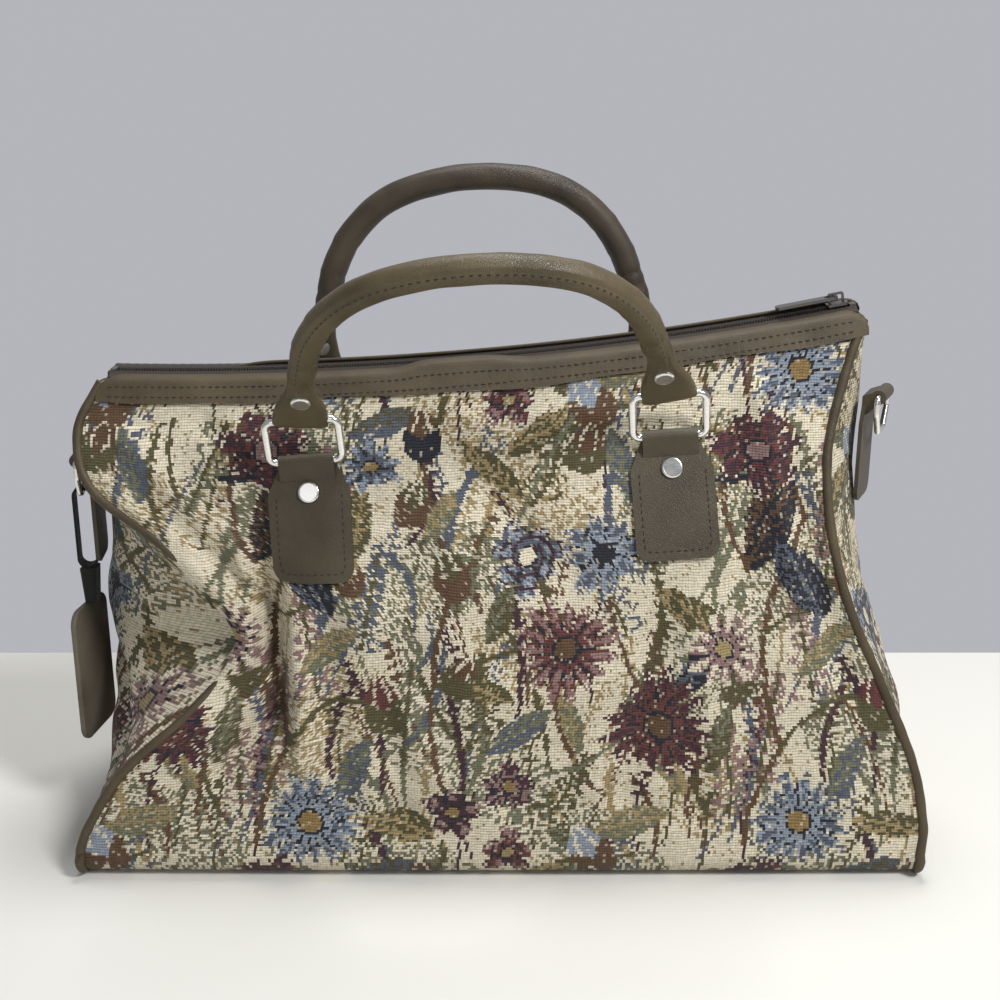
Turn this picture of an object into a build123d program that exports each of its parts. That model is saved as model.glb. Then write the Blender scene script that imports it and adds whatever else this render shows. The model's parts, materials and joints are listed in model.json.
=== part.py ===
# A small tapestry travel bag with a zip along its mouth, rolled handles on rings,
# piping round both ends and a tag on the left ring. Millimetres, +Z up, +X to the right
# as seen from the front, front face towards -Y, origin at the middle of the base.
from build123d import *
from math import atan2, cos, degrees, exp, hypot, pi, radians, sin, sqrt, tan
import os

# Body of the bag
base_half_depth = 90.0
mouth_half_gap = 10.0
face_bulge = 20.0
bulge_reach = 330.0
base_corner_radius = 12.0
cloth = 2.0
base_cut = 0.3

# Pinch in the front face beside the left seam
pinch_depth = 20.0
pinch_x = -128.0
pinch_z = 118.0
pinch_width = 26.0
pinch_height = 45.0

# Arc of the closed zip
zip_left = (-207.0, 249.0)
zip_right = (187.0, 284.0)
zip_sag = 11.0

# Seams that join the faces to the ends, as (x, z) from the mouth down to the base
front_left_seam = [(-206, 245), (-217, 222), (-209, 194), (-173, 169), (-138, 137), (-129, 116),
                   (-156, 88), (-191, 58), (-210, 30)]
front_right_seam = [(185, 277), (176, 254), (166, 219), (165, 196), (168, 170), (176, 140),
                    (192, 104), (210, 62), (217, 28)]
back_left_seam = [(-206, 245), (-213, 215), (-211, 180), (-203, 150), (-200, 122), (-203, 92),
                  (-210, 60), (-214, 28)]
back_right_seam = [(185, 277), (184, 250), (180, 215), (178, 180), (182, 145), (190, 110),
                   (204, 66), (215, 28)]
base_half_length = 216.0

# How far the middle of each end stands out, as (x, y, z)
left_end_line = [(-211, 0, 243), (-213, 3, 210), (-212, 8, 168), (-213, 8, 140), (-214, 4, 112),
                 (-215, -2, 80), (-216, -4, 46), (-217, 0, 5)]
right_end_line = [(191, 4, 275), (190, 6, 236), (189, 10, 200), (193, 10, 160), (202, 8, 122),
                  (214, 2, 86), (219, 0, 50), (218, 0, 5)]
end_foot_height = 5.8
end_top_drop = 3.0

# Where the sections of the long cloth stand, and how far the cutting outline reaches past the base
wrap_stations = [-222, -192, -164, -144, -128, -112, -96, -76, -45, 0, 60, 120, 170, 222]
trim_reach = 60.0

# Piping
piping_radius = 2.5
seam_gap = 0.6

# Mouth: leatherette bands, tape and chain of the zip
band_drop = 13.0
band_thickness = 1.3
band_lip_y = 5.2
tape_half_thickness = 0.4
tape_outer_y = 9.6
chain_outer_y = 3.0
chain_inner_y = 0.6
chain_half_height = 1.2
lay_gap = 0.25
stop_length = 3.0
zip_inset = 4.0

# Zip slider and its pull
slider_length = 11.0
slider_half_width = 4.0
slider_plate = 1.4
slider_gap = 0.25
slider_post = 0.8
slider_from_end = 13.0
bridge_height = 5.2
bridge_bar = 1.1
bridge_width = 2.0
pull_length = 32.0
pull_width = 7.5
pull_thickness = 1.5
pull_bar = 0.7
pull_lift = 2.9
pull_window = (5.0, 4.2)

# Rings of the handles
ring_left_x = -98.0
ring_right_x = 85.5
ring_left_z = 209.6
ring_right_z = 222.8
ring_wire = 2.0
ring_width = 37.0
ring_height = 22.5
ring_corner = 4.0
ring_lean_front = 10.0
ring_lean_back = 4.0
loop_clearance = 0.15
leather = 1.6

# Patches that hold the rings
patch_width = 42.0
patch_length = 58.0
patch_shoulder = 14.0
patch_corner = 7.0
patch_thickness = 2.0
neck_width = 28.0
rivet_drop = 16.0
rivet_cap_radius = 5.6
rivet_cap_height = 1.8
rivet_shank = 2.0
ring_stand = 4.7
fold_length = 9.5

# Handles
handle_radius = 7.0
handle_rise = 106.0
handle_lean_front = 42.0
handle_lean_back = 3.0
handle_leg_rise = 38.0
handle_leg_inset = 7.0
handle_shoulders = [(56.0, 0.95), (27.5, 0.78), (11.0, 0.49)]
foot_widths = [28.0, 25.0, 17.5]
foot_rises = [0.0, 12.0, 27.0]
foot_thickness = 7.5
handle_rivet_rise = 21.0
handle_rivet_cap = 5.0
handle_rivet_back = 4.2
fit = 0.2
foot_rounding = 0.48
leg_overlap = 0.02
leg_inside = 0.93

# Tabs and D-rings on the ends
tab_width = 28.0
tab_neck = 20.0
tab_length = 56.0
tab_corner = 6.0
tab_thickness = 2.0
tab_stand = 4.5
tab_left = (-222.9, -4.0, 203.0)
tab_left_turn = 186.0
tab_right = (197.7, -12.9, 239.0)
tab_right_turn = -26.0
dring_wire = 1.6
dring_width = 25.0
dring_drop = 19.0
dring_corner = 3.0

# Luggage tag on the left D-ring
tag_strap_thickness = 1.3
tag_strap_width = 8.0
tag_loop_height = 46.0
tag_loop_width = 11.0
tag_keeper_size = (9.0, 12.0, 20.0)
tag_shift = 3.0
tag_length = 76.0
tag_width = 42.0
tag_thickness = 3.0
tag_turn = 8.0

# Stiff board lying inside on the base
board_thickness = 3.0
board_length = 2 * (base_half_length - 14.0)
board_depth = 2 * (base_half_depth - 16.0)

# Centre and radius of the zip arc, worked out from its ends and sag
zip_chord = hypot(zip_right[0] - zip_left[0], zip_right[1] - zip_left[1])
zip_rise = atan2(zip_right[1] - zip_left[1], zip_right[0] - zip_left[0])
zip_radius = zip_chord**2 / (8 * zip_sag) + zip_sag / 2
zip_centre_x = (zip_left[0] + zip_right[0]) / 2 - sin(zip_rise) * (zip_radius - zip_sag)
zip_centre_z = (zip_left[1] + zip_right[1]) / 2 + cos(zip_rise) * (zip_radius - zip_sag)


def zip_height(x):
    """Height of the zip's middle line above the base."""
    return zip_centre_z - sqrt(zip_radius**2 - (x - zip_centre_x) ** 2)


def zip_angle(x):
    """Angle about the centre of the zip arc, from straight down, positive towards +X."""
    return degrees(atan2(x - zip_centre_x, zip_centre_z - zip_height(x)))


def panel_top(x):
    """Height of the cloth's top edge, just under the tape."""
    return zip_height(x) - tape_half_thickness - lay_gap


def pinch(x, z):
    """How far the pinch draws the front face inwards."""
    return pinch_depth * exp(-(((x - pinch_x) / pinch_width) ** 2) - ((z - pinch_z) / pinch_height) ** 2)


def face_y(side, x, z):
    """Outer face of the cloth: side is -1 for the front and 1 for the back."""
    rise = z / zip_height(x)
    swell = face_bulge * (1 - (x / bulge_reach) ** 2) * sin(pi * min(max(rise, 0), 1))
    depth = base_half_depth * (1 - rise) + mouth_half_gap * rise + swell
    if side < 0:
        depth -= pinch(x, z)
    return side * depth


def heights(low, high, count):
    return [low + (high - low) * i / (count - 1) for i in range(count)]


def wall_line(side, x, inset, low, high, count=9):
    """Points up one face at x, set in from the outer cloth, as (y, z)."""
    return [(face_y(side, x, z) - side * inset, z) for z in heights(low, high, count)]


def seam_point(side, x, z):
    """A seam runs along the middle of the cloth's thickness."""
    return (x, face_y(side, x, z) - side * cloth / 2, z)


def outward_offset(points, distance):
    """Points of an open line in a plane, moved to its left-hand side."""
    moved = []
    for i, (x, z) in enumerate(points):
        before = points[max(i - 1, 0)]
        after = points[min(i + 1, len(points) - 1)]
        dx, dz = after[0] - before[0], after[1] - before[1]
        length = hypot(dx, dz)
        moved.append((x - dz / length * distance, z + dx / length * distance))
    return moved


def smooth_reading(points, z):
    """x at height z on a smooth line through points (x, z), upright at its lower end."""
    slopes = []
    for i in range(len(points) - 1):
        high, low = points[max(i - 1, 0)], points[i + 1]
        slopes.append((high[0] - low[0]) / (high[1] - low[1]))
    slopes.append(0)
    for i in range(len(points) - 1):
        (high_x, high_z), (low_x, low_z) = points[i], points[i + 1]
        if z >= low_z or i == len(points) - 2:
            span = high_z - low_z
            t = (z - low_z) / span
            return (low_x * (1 + 2 * t) * (1 - t) ** 2 + slopes[i + 1] * span * t * (1 - t) ** 2
                    + high_x * t**2 * (3 - 2 * t) + slopes[i] * span * t**2 * (t - 1))


def seam_samples(side, points, foot_x, count=19):
    """A seam from the mouth to the base corner as evenly read points (x, y, z)."""
    knots = points + [(foot_x, base_corner_radius)]
    levels = heights(knots[0][1], base_corner_radius, count)
    return [seam_point(side, smooth_reading(knots, z), z) for z in levels]


def save(part, name):
    part.label = name
    export_step(part, f"parts/{name}.step")


os.makedirs("parts", exist_ok=True)

# The four seams, and the outline of the faces seen from the front, inside the piping
seam_clear = piping_radius + seam_gap
seams = {
    "front_left": seam_samples(-1, front_left_seam, -base_half_length),
    "front_right": seam_samples(-1, front_right_seam, base_half_length),
    "back_left": seam_samples(1, back_left_seam, -base_half_length),
    "back_right": seam_samples(1, back_right_seam, base_half_length),
}


def face_outline(left, right):
    """Closed line round one face, from its two seams."""
    left_line, right_line = [[(x, z) for x, y, z in seam] + [(seam[-1][0], base_corner_radius / 2)]
                             for seam in (left, right)]
    left_in = outward_offset(left_line, seam_clear)
    right_in = outward_offset(right_line[::-1], seam_clear)
    over = zip_right[1] + base_corner_radius
    Polyline(*left_in, (left_in[-1][0], 0), (right_in[0][0], 0), *right_in,
             (right_in[-1][0], over), (left_in[0][0], over), close=True)


with BuildPart() as face_trim:
    with BuildSketch(Plane.XZ):
        with BuildLine():
            face_outline(seams["front_left"], seams["front_right"])
        make_face()
    extrude(amount=base_half_depth + trim_reach)
    with BuildSketch(Plane.XZ):
        with BuildLine():
            face_outline(seams["back_left"], seams["back_right"])
        make_face()
    extrude(amount=-base_half_depth - trim_reach)

# Front, base and back are one piece of cloth: a thin U lofted along the bag and cut level underneath
with BuildPart() as body_wrap:
    for x in wrap_stations:
        corner = base_corner_radius
        front = wall_line(-1, x, 0, corner, panel_top(x))
        front_in = wall_line(-1, x, cloth, corner, panel_top(x))
        back = wall_line(1, x, 0, corner, panel_top(x))
        back_in = wall_line(1, x, cloth, corner, panel_top(x))
        bend = corner * (1 - sqrt(0.5))
        bend_in = cloth + (corner - cloth) * (1 - sqrt(0.5))
        with BuildSketch(Plane.YZ.offset(x)):
            with BuildLine():
                Spline(*front[::-1])
                ThreePointArc(front[0], (front[0][0] + bend, bend), (front[0][0] + corner, -base_cut))
                Line((front[0][0] + corner, -base_cut), (back[0][0] - corner, -base_cut))
                ThreePointArc((back[0][0] - corner, -base_cut), (back[0][0] - bend, bend), back[0])
                Spline(*back)
                Line(back[-1], back_in[-1])
                Spline(*back_in[::-1])
                ThreePointArc(back_in[0], (back[0][0] - bend_in, bend_in), (back[0][0] - corner, cloth))
                Line((back[0][0] - corner, cloth), (front[0][0] + corner, cloth))
                ThreePointArc((front[0][0] + corner, cloth), (front[0][0] + bend_in, bend_in), front_in[0])
                Spline(*front_in)
                Line(front_in[-1], front[-1])
            make_face()
    loft()
    add(face_trim.part, mode=Mode.INTERSECT)
save(body_wrap.part, "body_wrap")


def along(points, z):
    """Straight reading between points whose last number is the height, listed from the top down."""
    for high, low in zip(points, points[1:]):
        if z >= low[-1]:
            share = min((z - low[-1]) / (high[-1] - low[-1]), 1)
            return [a + (b - a) * share for a, b in zip(low, high)][:-1]
    return list(points[-1][:-1])


def panel_edge(seam, index, towards):
    """Where an end panel stops beside the piping, at the height of one seam sample."""
    before = Vector(*seam[max(index - 1, 0)])
    after = Vector(*seam[min(index + 1, len(seam) - 1)])
    run = (after - before).normalized()
    x, y, z = seam[index]
    across = Vector(towards[0] - x, towards[1] - y, 0).normalized()
    reach = (seam_clear + seam_gap) / across.cross(run).length
    return (x + across.X * reach, y + across.Y * reach)


def end_sections(front, back, line):
    """Level sections of an end panel: its height and three outer points, front seam to back."""
    sections = []
    for i, (x, y, z) in enumerate(front):
        middle = along(line, z)
        level = min(range(len(back)), key=lambda k: abs(back[k][2] - z))
        bx, by = along(back, z)
        back_seam = [(bx, by, z) if k == level else point for k, point in enumerate(back)]
        points = [panel_edge(front, i, middle), tuple(middle), panel_edge(back_seam, level, middle)]
        sections.append((z, points))
    top_z, top_points = sections[0]
    sections[0] = (top_z - end_top_drop, top_points)
    foot = [(line[-1][0], -base_half_depth + base_corner_radius), tuple(line[-1][:2]),
            (line[-1][0], base_half_depth - base_corner_radius)]
    return sections + [(end_foot_height, foot)]


# End panels, lofted through level sections
def end_panel(front, back, line, outer_side):
    with BuildPart() as panel:
        for z, outer in end_sections(front, back, line):
            inner = outward_offset(outer, outer_side * cloth)
            with BuildSketch(Plane.XY.offset(z)):
                with BuildLine():
                    Spline(*outer)
                    Line(outer[-1], inner[-1])
                    Spline(*inner[::-1])
                    Line(inner[0], outer[0])
                make_face()
        loft()
    return panel.part


save(end_panel(seams["front_left"], seams["back_left"], left_end_line, -1), "end_panel_left")
save(end_panel(seams["front_right"], seams["back_right"], right_end_line, 1), "end_panel_right")


# Piping round each end: down the front seam, under the base and up the back seam
def piping(front, back, foot_x):
    foot_y = base_half_depth - cloth / 2
    run_z = piping_radius + lay_gap / 2
    turn = base_corner_radius - run_z
    bend = [(turn * (1 - cos(radians(step))), turn * (1 - sin(radians(step)))) for step in (0, 30, 60, 90)]
    base_front = [(foot_x, in_y - foot_y, run_z + up_z) for in_y, up_z in bend]
    base_back = [(x, -y, z) for x, y, z in base_front[::-1]]
    line = front[:-1] + base_front + base_back + back[-2::-1]
    with BuildPart() as tube:
        for i, point in enumerate(line):
            run = (Vector(*line[min(i + 1, len(line) - 1)]) - Vector(*line[max(i - 1, 0)])).normalized()
            with BuildSketch(Plane(origin=point, x_dir=Vector(1, 0, 0) - run * run.X, z_dir=run)):
                Circle(piping_radius)
        loft(ruled=True)
    return tube.part


save(piping(seams["front_left"], seams["back_left"], -base_half_length), "piping_left")
save(piping(seams["front_right"], seams["back_right"], base_half_length), "piping_right")


# Leatherette bands folded over both sides of the mouth
def mouth_band(side):
    with BuildPart() as band:
        for x in wrap_stations:
            top = zip_height(x)
            low = [(face_y(side, x, top - drop), top - drop) for drop in (band_drop, band_drop / 2, 0.8)]
            under = [(y + side * lay_gap, z) for y, z in low]
            over = [(y + side * (lay_gap + band_thickness), z) for y, z in low]
            lip_low = top + tape_half_thickness + seam_gap
            lip_high = lip_low + band_thickness
            with BuildSketch(Plane.YZ.offset(x)):
                with BuildLine():
                    Polyline(*under, (under[-1][0], lip_low), (side * band_lip_y, lip_low),
                             (side * band_lip_y, lip_high), (over[-1][0], lip_high), *over[::-1], close=True)
                make_face()
        loft()
        add(face_trim.part, mode=Mode.INTERSECT)
    return band.part


save(mouth_band(-1), "band_front")
save(mouth_band(1), "band_back")


# Zip: tape and chain turned about the centre of the arc
zip_axis = Axis((zip_centre_x, 0, zip_centre_z), (0, -1, 0))


def zip_plane(x):
    """Plane across the zip at x: first direction +Y, second away from the base."""
    angle = radians(zip_angle(x))
    return Plane(origin=(x, 0, zip_height(x)), x_dir=(0, 1, 0), z_dir=(cos(angle), 0, sin(angle)))


def zip_strip(side, inner_y, outer_y, half_height, first_x, last_x):
    with BuildPart() as strip:
        with BuildSketch(zip_plane(first_x)):
            with Locations((side * (inner_y + outer_y) / 2, 0)):
                Rectangle(outer_y - inner_y, 2 * half_height)
        revolve(axis=zip_axis, revolution_arc=zip_angle(last_x) - zip_angle(first_x))
    return strip.part


tape_ends = (zip_left[0] + zip_inset, zip_right[0] - zip_inset)
chain_ends = (tape_ends[0] + stop_length, tape_ends[1] - stop_length)
for side, name in ((-1, "front"), (1, "back")):
    tape = zip_strip(side, chain_outer_y + lay_gap / 2, tape_outer_y, tape_half_thickness, *tape_ends)
    save(tape, f"zip_tape_{name}")
    chain = zip_strip(side, chain_inner_y, chain_outer_y, chain_half_height, *chain_ends)
    save(chain, f"zip_chain_{name}")

# Stops across both ends of the chain
for name, first_x, last_x in (("left", tape_ends[0], chain_ends[0]), ("right", chain_ends[1], tape_ends[1])):
    with BuildPart() as stop:
        with BuildSketch(zip_plane(first_x)):
            Rectangle(2 * chain_outer_y, 2 * chain_half_height)
        revolve(axis=zip_axis, revolution_arc=zip_angle(last_x) - zip_angle(first_x))
    save(stop.part, f"zip_stop_{name}")

# Slider: two plates round the chain, a thin post between its halves and a bridge on top
slider_x = zip_right[0] - slider_from_end
slider_turn = radians(zip_angle(slider_x))
slider_plane = Plane(origin=(slider_x, 0, zip_height(slider_x)), x_dir=(cos(slider_turn), 0, sin(slider_turn)),
                     z_dir=(-sin(slider_turn), 0, cos(slider_turn)))
plate_low = chain_half_height + slider_gap
plate_high = plate_low + slider_plate
bridge_side = Plane(origin=slider_plane.origin, x_dir=slider_plane.x_dir, z_dir=-slider_plane.y_dir)

with BuildPart() as zip_slider:
    for level in (plate_low, -plate_high):
        with BuildSketch(slider_plane.offset(level)):
            RectangleRounded(slider_length, 2 * slider_half_width, 2)
        extrude(amount=slider_plate)
    with BuildSketch(slider_plane.offset(-plate_low)):
        with Locations((slider_length / 3, 0)):
            RectangleRounded(slider_length / 4, slider_post, slider_post / 3)
    extrude(amount=2 * plate_low)
    with BuildSketch(bridge_side):
        with Locations((0, plate_high + bridge_height / 2)):
            RectangleRounded(slider_length - 3, bridge_height, 1)
        with Locations((0, plate_high)):
            Rectangle(slider_length - 3, bridge_height)
        with Locations((0, plate_high + (bridge_height - bridge_bar) / 2)):
            Rectangle(slider_length - 3 - 2 * bridge_bar, bridge_height - bridge_bar, mode=Mode.SUBTRACT)
        with Locations((0, plate_high - bridge_height / 2)):
            Rectangle(slider_length, bridge_height, mode=Mode.SUBTRACT)
    extrude(amount=bridge_width / 2, both=True)
save(zip_slider.part, "zip_slider")

pull_height = plate_high + pull_lift
with BuildPart() as zip_pull:
    with BuildSketch(slider_plane.offset(pull_height - pull_thickness / 2)):
        with Locations((pull_bar - pull_length / 2, 0)):
            RectangleRounded(pull_length, pull_width, pull_width / 3)
        with Locations((-pull_bar - pull_window[0] / 2, 0)):
            Rectangle(*pull_window, mode=Mode.SUBTRACT)
    extrude(amount=pull_thickness)
save(zip_pull.part, "zip_pull")


# Line of the ring bars, which rises to the right
bar_length = hypot(ring_right_x - ring_left_x, ring_right_z - ring_left_z)
bar_turn = atan2(ring_right_z - ring_left_z, ring_right_x - ring_left_x)
bar_direction = Vector(cos(bar_turn), 0, sin(bar_turn))
bar_normal = Vector(-sin(bar_turn), 0, cos(bar_turn))
loop_radius = ring_wire + loop_clearance + leather
loop_bore = ring_wire + loop_clearance
ring_places = (("left", ring_left_x, ring_left_z), ("right", ring_right_x, ring_right_z))
sides = ((-1, "front", ring_lean_front, handle_lean_front), (1, "back", ring_lean_back, handle_lean_back))


def leaning(side, lean):
    """Direction away from the base at a lean outwards from the bag."""
    return bar_normal * cos(radians(lean)) + Vector(0, side, 0) * sin(radians(lean))


def bar_plane(side, origin, lean):
    """Plane whose first direction runs along the bars and second leans outwards."""
    up = leaning(side, lean)
    return Plane(origin=origin, x_dir=bar_direction, z_dir=bar_direction.cross(up))


def lower_bar(side, x, z):
    return Vector(x, face_y(side, x, z) + side * ring_stand, z)


def middle_bar(side):
    """Middle of the line through both lower bars on one side."""
    left = lower_bar(side, ring_left_x, ring_left_z)
    right = lower_bar(side, ring_right_x, ring_right_z)
    return Vector((left.X + right.X) / 2, max(side * left.Y, side * right.Y) * side, (left.Z + right.Z) / 2)


def ring_origin(side, place):
    return middle_bar(side) + bar_direction * (bar_length / 2 * (-1 if place == "left" else 1))


def rivet_seat(side, place):
    """Plane on which the cap of a patch rivet sits, pressed a little into the leather."""
    down = ring_origin(side, place) - bar_normal * rivet_drop
    rise = face_y(side, down.X, down.Z - 1) - face_y(side, down.X, down.Z + 1)
    outward = Vector(0, side * 2, side * rise).normalized()
    foot = Vector(down.X, face_y(side, down.X, down.Z), down.Z)
    return Plane(origin=foot + outward * (lay_gap + patch_thickness * 0.85), z_dir=outward)


# Patches: the neck folds round the lower bar, the flat follows the cloth
def patch(side, place):
    origin = ring_origin(side, place)
    half_neck = neck_width / 2
    half = patch_width / 2
    skin_stations = [origin.X + step for step in heights(-patch_width, patch_width, 7)]
    low = origin.Z - patch_length - patch_width / 2
    high = origin.Z + ring_wire
    fold_plane = Plane(origin=origin - bar_direction * half_neck, x_dir=(0, side, 0), z_dir=bar_direction)
    up_sign = 1 if fold_plane.y_dir.Z > 0 else -1
    with BuildPart() as skin:
        for x in skin_stations:
            inside = wall_line(side, x, -lay_gap, low, high, 5)
            outside = wall_line(side, x, -lay_gap - patch_thickness, low, high, 5)
            with BuildSketch(Plane.YZ.offset(x)):
                with BuildLine():
                    Spline(*inside)
                    Line(inside[-1], outside[-1])
                    Spline(*outside[::-1])
                    Line(outside[0], inside[0])
                make_face()
        loft()
    front_view = Plane(origin=(origin.X, 0, origin.Z), x_dir=bar_direction, z_dir=(0, -1, 0))
    with BuildPart() as piece:
        with BuildSketch(front_view):
            with BuildLine():
                FilletPolyline((-half_neck, 0), (-half_neck, -leather), (-half, -leather - patch_shoulder),
                               (-half, -patch_length), (half, -patch_length),
                               (half, -leather - patch_shoulder), (half_neck, -leather), (half_neck, 0),
                               radius=[leather / 2, patch_corner, patch_corner, patch_corner, patch_corner,
                                       leather / 2])
                Line((half_neck, 0), (-half_neck, 0))
            make_face()
        extrude(amount=-side * 2 * base_half_depth)
        add(skin.part, mode=Mode.INTERSECT)
        with BuildSketch(fold_plane):
            Circle(loop_radius)
            with BuildLine():
                face_step = ring_stand - lay_gap - patch_thickness
                drop_y = side * (face_y(side, origin.X, origin.Z - fold_length) - origin.Y) + 2 * lay_gap
                Polyline((loop_radius, 0), (drop_y + patch_thickness, -up_sign * fold_length),
                         (drop_y + patch_thickness / 2, -up_sign * fold_length), (-face_step, 0),
                         (loop_radius, 0))
            make_face()
        extrude(amount=neck_width)
        with BuildSketch(fold_plane):
            Circle(loop_bore)
        extrude(amount=neck_width, mode=Mode.SUBTRACT)
        with BuildSketch(rivet_seat(side, place)):
            Circle(rivet_cap_radius + fit)
        extrude(amount=2 * patch_thickness, mode=Mode.SUBTRACT)
    return piece.part


for side, name, ring_lean, handle_lean in sides:
    for place, x, z in ring_places:
        save(patch(side, place), f"{name}_patch_{place}")


# Cap rivets that close the necks of the patches
def patch_rivet(side, place):
    seat = rivet_seat(side, place)
    with BuildPart() as rivet:
        with BuildSketch(seat):
            Circle(rivet_cap_radius)
        extrude(amount=rivet_cap_height)
        fillet(rivet.faces().sort_by(Axis(seat.origin, seat.z_dir))[-1].edges(), rivet_cap_height * 0.7)
    return rivet.part


# Rings of round wire
def handle_ring(side, place, lean):
    plane = bar_plane(side, ring_origin(side, place), lean)
    half = ring_width / 2
    corners = [(-half, 0), (half, 0), (half, ring_height), (-half, ring_height)]
    with BuildPart() as ring:
        with BuildLine(plane) as path:
            FilletPolyline(*corners, radius=ring_corner, close=True)
        with BuildSketch(Plane(origin=path.line @ 0, z_dir=path.line % 0)):
            Circle(ring_wire)
        sweep()
    return ring.part


for side, name, ring_lean, handle_lean in sides:
    for place, x, z in ring_places:
        save(patch_rivet(side, place), f"{name}_patch_rivet_{place}")
        save(handle_ring(side, place, ring_lean), f"{name}_ring_{place}")


# Rolled handles with flat feet folded round the upper bars
def handle_line():
    """Right half of the handle's middle line, from the top to the leg, as arcs that run into each other."""
    half = bar_length / 2
    points = [(0, handle_rise)]
    points += [(half - inwards, handle_rise * share) for inwards, share in handle_shoulders]
    points.append((half - handle_leg_inset, handle_leg_rise))
    heading = 0
    arcs = []
    for (u, v), (next_u, next_v) in zip(points, points[1:]):
        bend = atan2(next_v - v, next_u - u) - heading
        swell = tan(bend / 2) / 2
        arcs.append(((u, v), ((u + next_u) / 2 + swell * (next_v - v), (v + next_v) / 2 - swell * (next_u - u)),
                     (next_u, next_v)))
        heading += 2 * bend
    return arcs


def handle_plane(side, ring_lean, lean):
    origin = middle_bar(side) + leaning(side, ring_lean) * ring_height
    return bar_plane(side, origin, lean)


def draw_handle_line():
    arcs = handle_line()
    for arc in arcs[::-1]:
        ThreePointArc(*[(-u, v) for u, v in arc[::-1]])
    for arc in arcs:
        ThreePointArc(*arc)


def handle(side, ring_lean, lean):
    plane = handle_plane(side, ring_lean, lean)
    with BuildPart() as piece:
        with BuildLine(plane) as path:
            draw_handle_line()
        with BuildSketch(Plane(origin=path.line @ 0, z_dir=path.line % 0)):
            Circle(handle_radius)
        sweep()
        for hand in (-1, 1):
            foot_u = hand * bar_length / 2
            leg_u = hand * (bar_length / 2 - handle_leg_inset)
            for rise, width in zip(foot_rises, foot_widths):
                share = rise / handle_leg_rise
                centre = plane.from_local_coords((foot_u + (leg_u - foot_u) * share, rise, 0))
                with BuildSketch(Plane(origin=centre, x_dir=plane.x_dir, z_dir=plane.y_dir)):
                    RectangleRounded(width, foot_thickness, foot_thickness * foot_rounding)
            share = leg_overlap if hand < 0 else 1 - leg_overlap
            way = (path.line % share) * -hand
            leg = 2 * handle_radius * leg_inside
            with BuildSketch(Plane(origin=path.line @ share, x_dir=plane.z_dir.cross(way) * -1, z_dir=way)):
                RectangleRounded(leg, leg, leg * foot_rounding)
            loft()
            with BuildSketch(Plane(origin=plane.from_local_coords((foot_u - neck_width / 2, 0, 0)),
                                   z_dir=plane.x_dir)):
                Circle(loop_radius)
            extrude(amount=neck_width)
        with BuildSketch(Plane(origin=plane.from_local_coords((-bar_length, 0, 0)), z_dir=plane.x_dir)):
            Circle(loop_bore)
        extrude(amount=2 * bar_length, mode=Mode.SUBTRACT)
        for hand in (-1, 1):
            foot_u = hand * bar_length / 2
            leg_u = hand * (bar_length / 2 - handle_leg_inset)
            hole_u = foot_u + (leg_u - foot_u) * handle_rivet_rise / handle_leg_rise
            for offset, radius, reach in ((foot_thickness / 2, handle_rivet_cap + fit, handle_radius),
                                          (-foot_thickness / 2, handle_rivet_back + fit, -handle_radius),
                                          (-handle_radius, rivet_shank + fit, 2 * handle_radius)):
                with BuildSketch(plane.offset(-side * offset)):
                    with Locations((hole_u, handle_rivet_rise)):
                        Circle(radius)
                extrude(amount=-side * reach, mode=Mode.SUBTRACT)
    return piece.part


def handle_rivet(side, ring_lean, lean, hand):
    plane = handle_plane(side, ring_lean, lean)
    hole_u = hand * (bar_length / 2 - handle_leg_inset * handle_rivet_rise / handle_leg_rise)
    middle = plane.from_local_coords((hole_u, handle_rivet_rise, 0))
    outward = plane.z_dir * (-side)
    half = foot_thickness / 2
    with BuildPart() as rivet:
        with BuildSketch(Plane(origin=middle + outward * half, z_dir=outward)):
            Circle(handle_rivet_cap)
        extrude(amount=rivet_cap_height)
        fillet(rivet.faces().sort_by(Axis(middle, outward))[-1].edges(), rivet_cap_height * 0.7)
        with BuildSketch(Plane(origin=middle - outward * (half + rivet_cap_height / 2), z_dir=outward)):
            Circle(rivet_shank)
        extrude(amount=2 * half + rivet_cap_height)
        with BuildSketch(Plane(origin=middle - outward * half, z_dir=-outward)):
            Circle(handle_rivet_back)
        extrude(amount=rivet_cap_height / 2)
    return rivet.part


for side, name, ring_lean, handle_lean in sides:
    save(handle(side, ring_lean, handle_lean), f"{name}_handle")
    for hand, place in ((-1, "left"), (1, "right")):
        save(handle_rivet(side, ring_lean, handle_lean, hand), f"{name}_handle_rivet_{place}")


# Tabs on the ends, each looped round the straight bar of a D-ring
def tab_frame(centre, turn):
    """Plane with its first direction along the bar, second up and third out of the bag."""
    out = Vector(cos(radians(turn)), sin(radians(turn)), 0)
    return Plane(origin=centre, x_dir=Vector(0, 0, 1).cross(out), z_dir=out)


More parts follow.
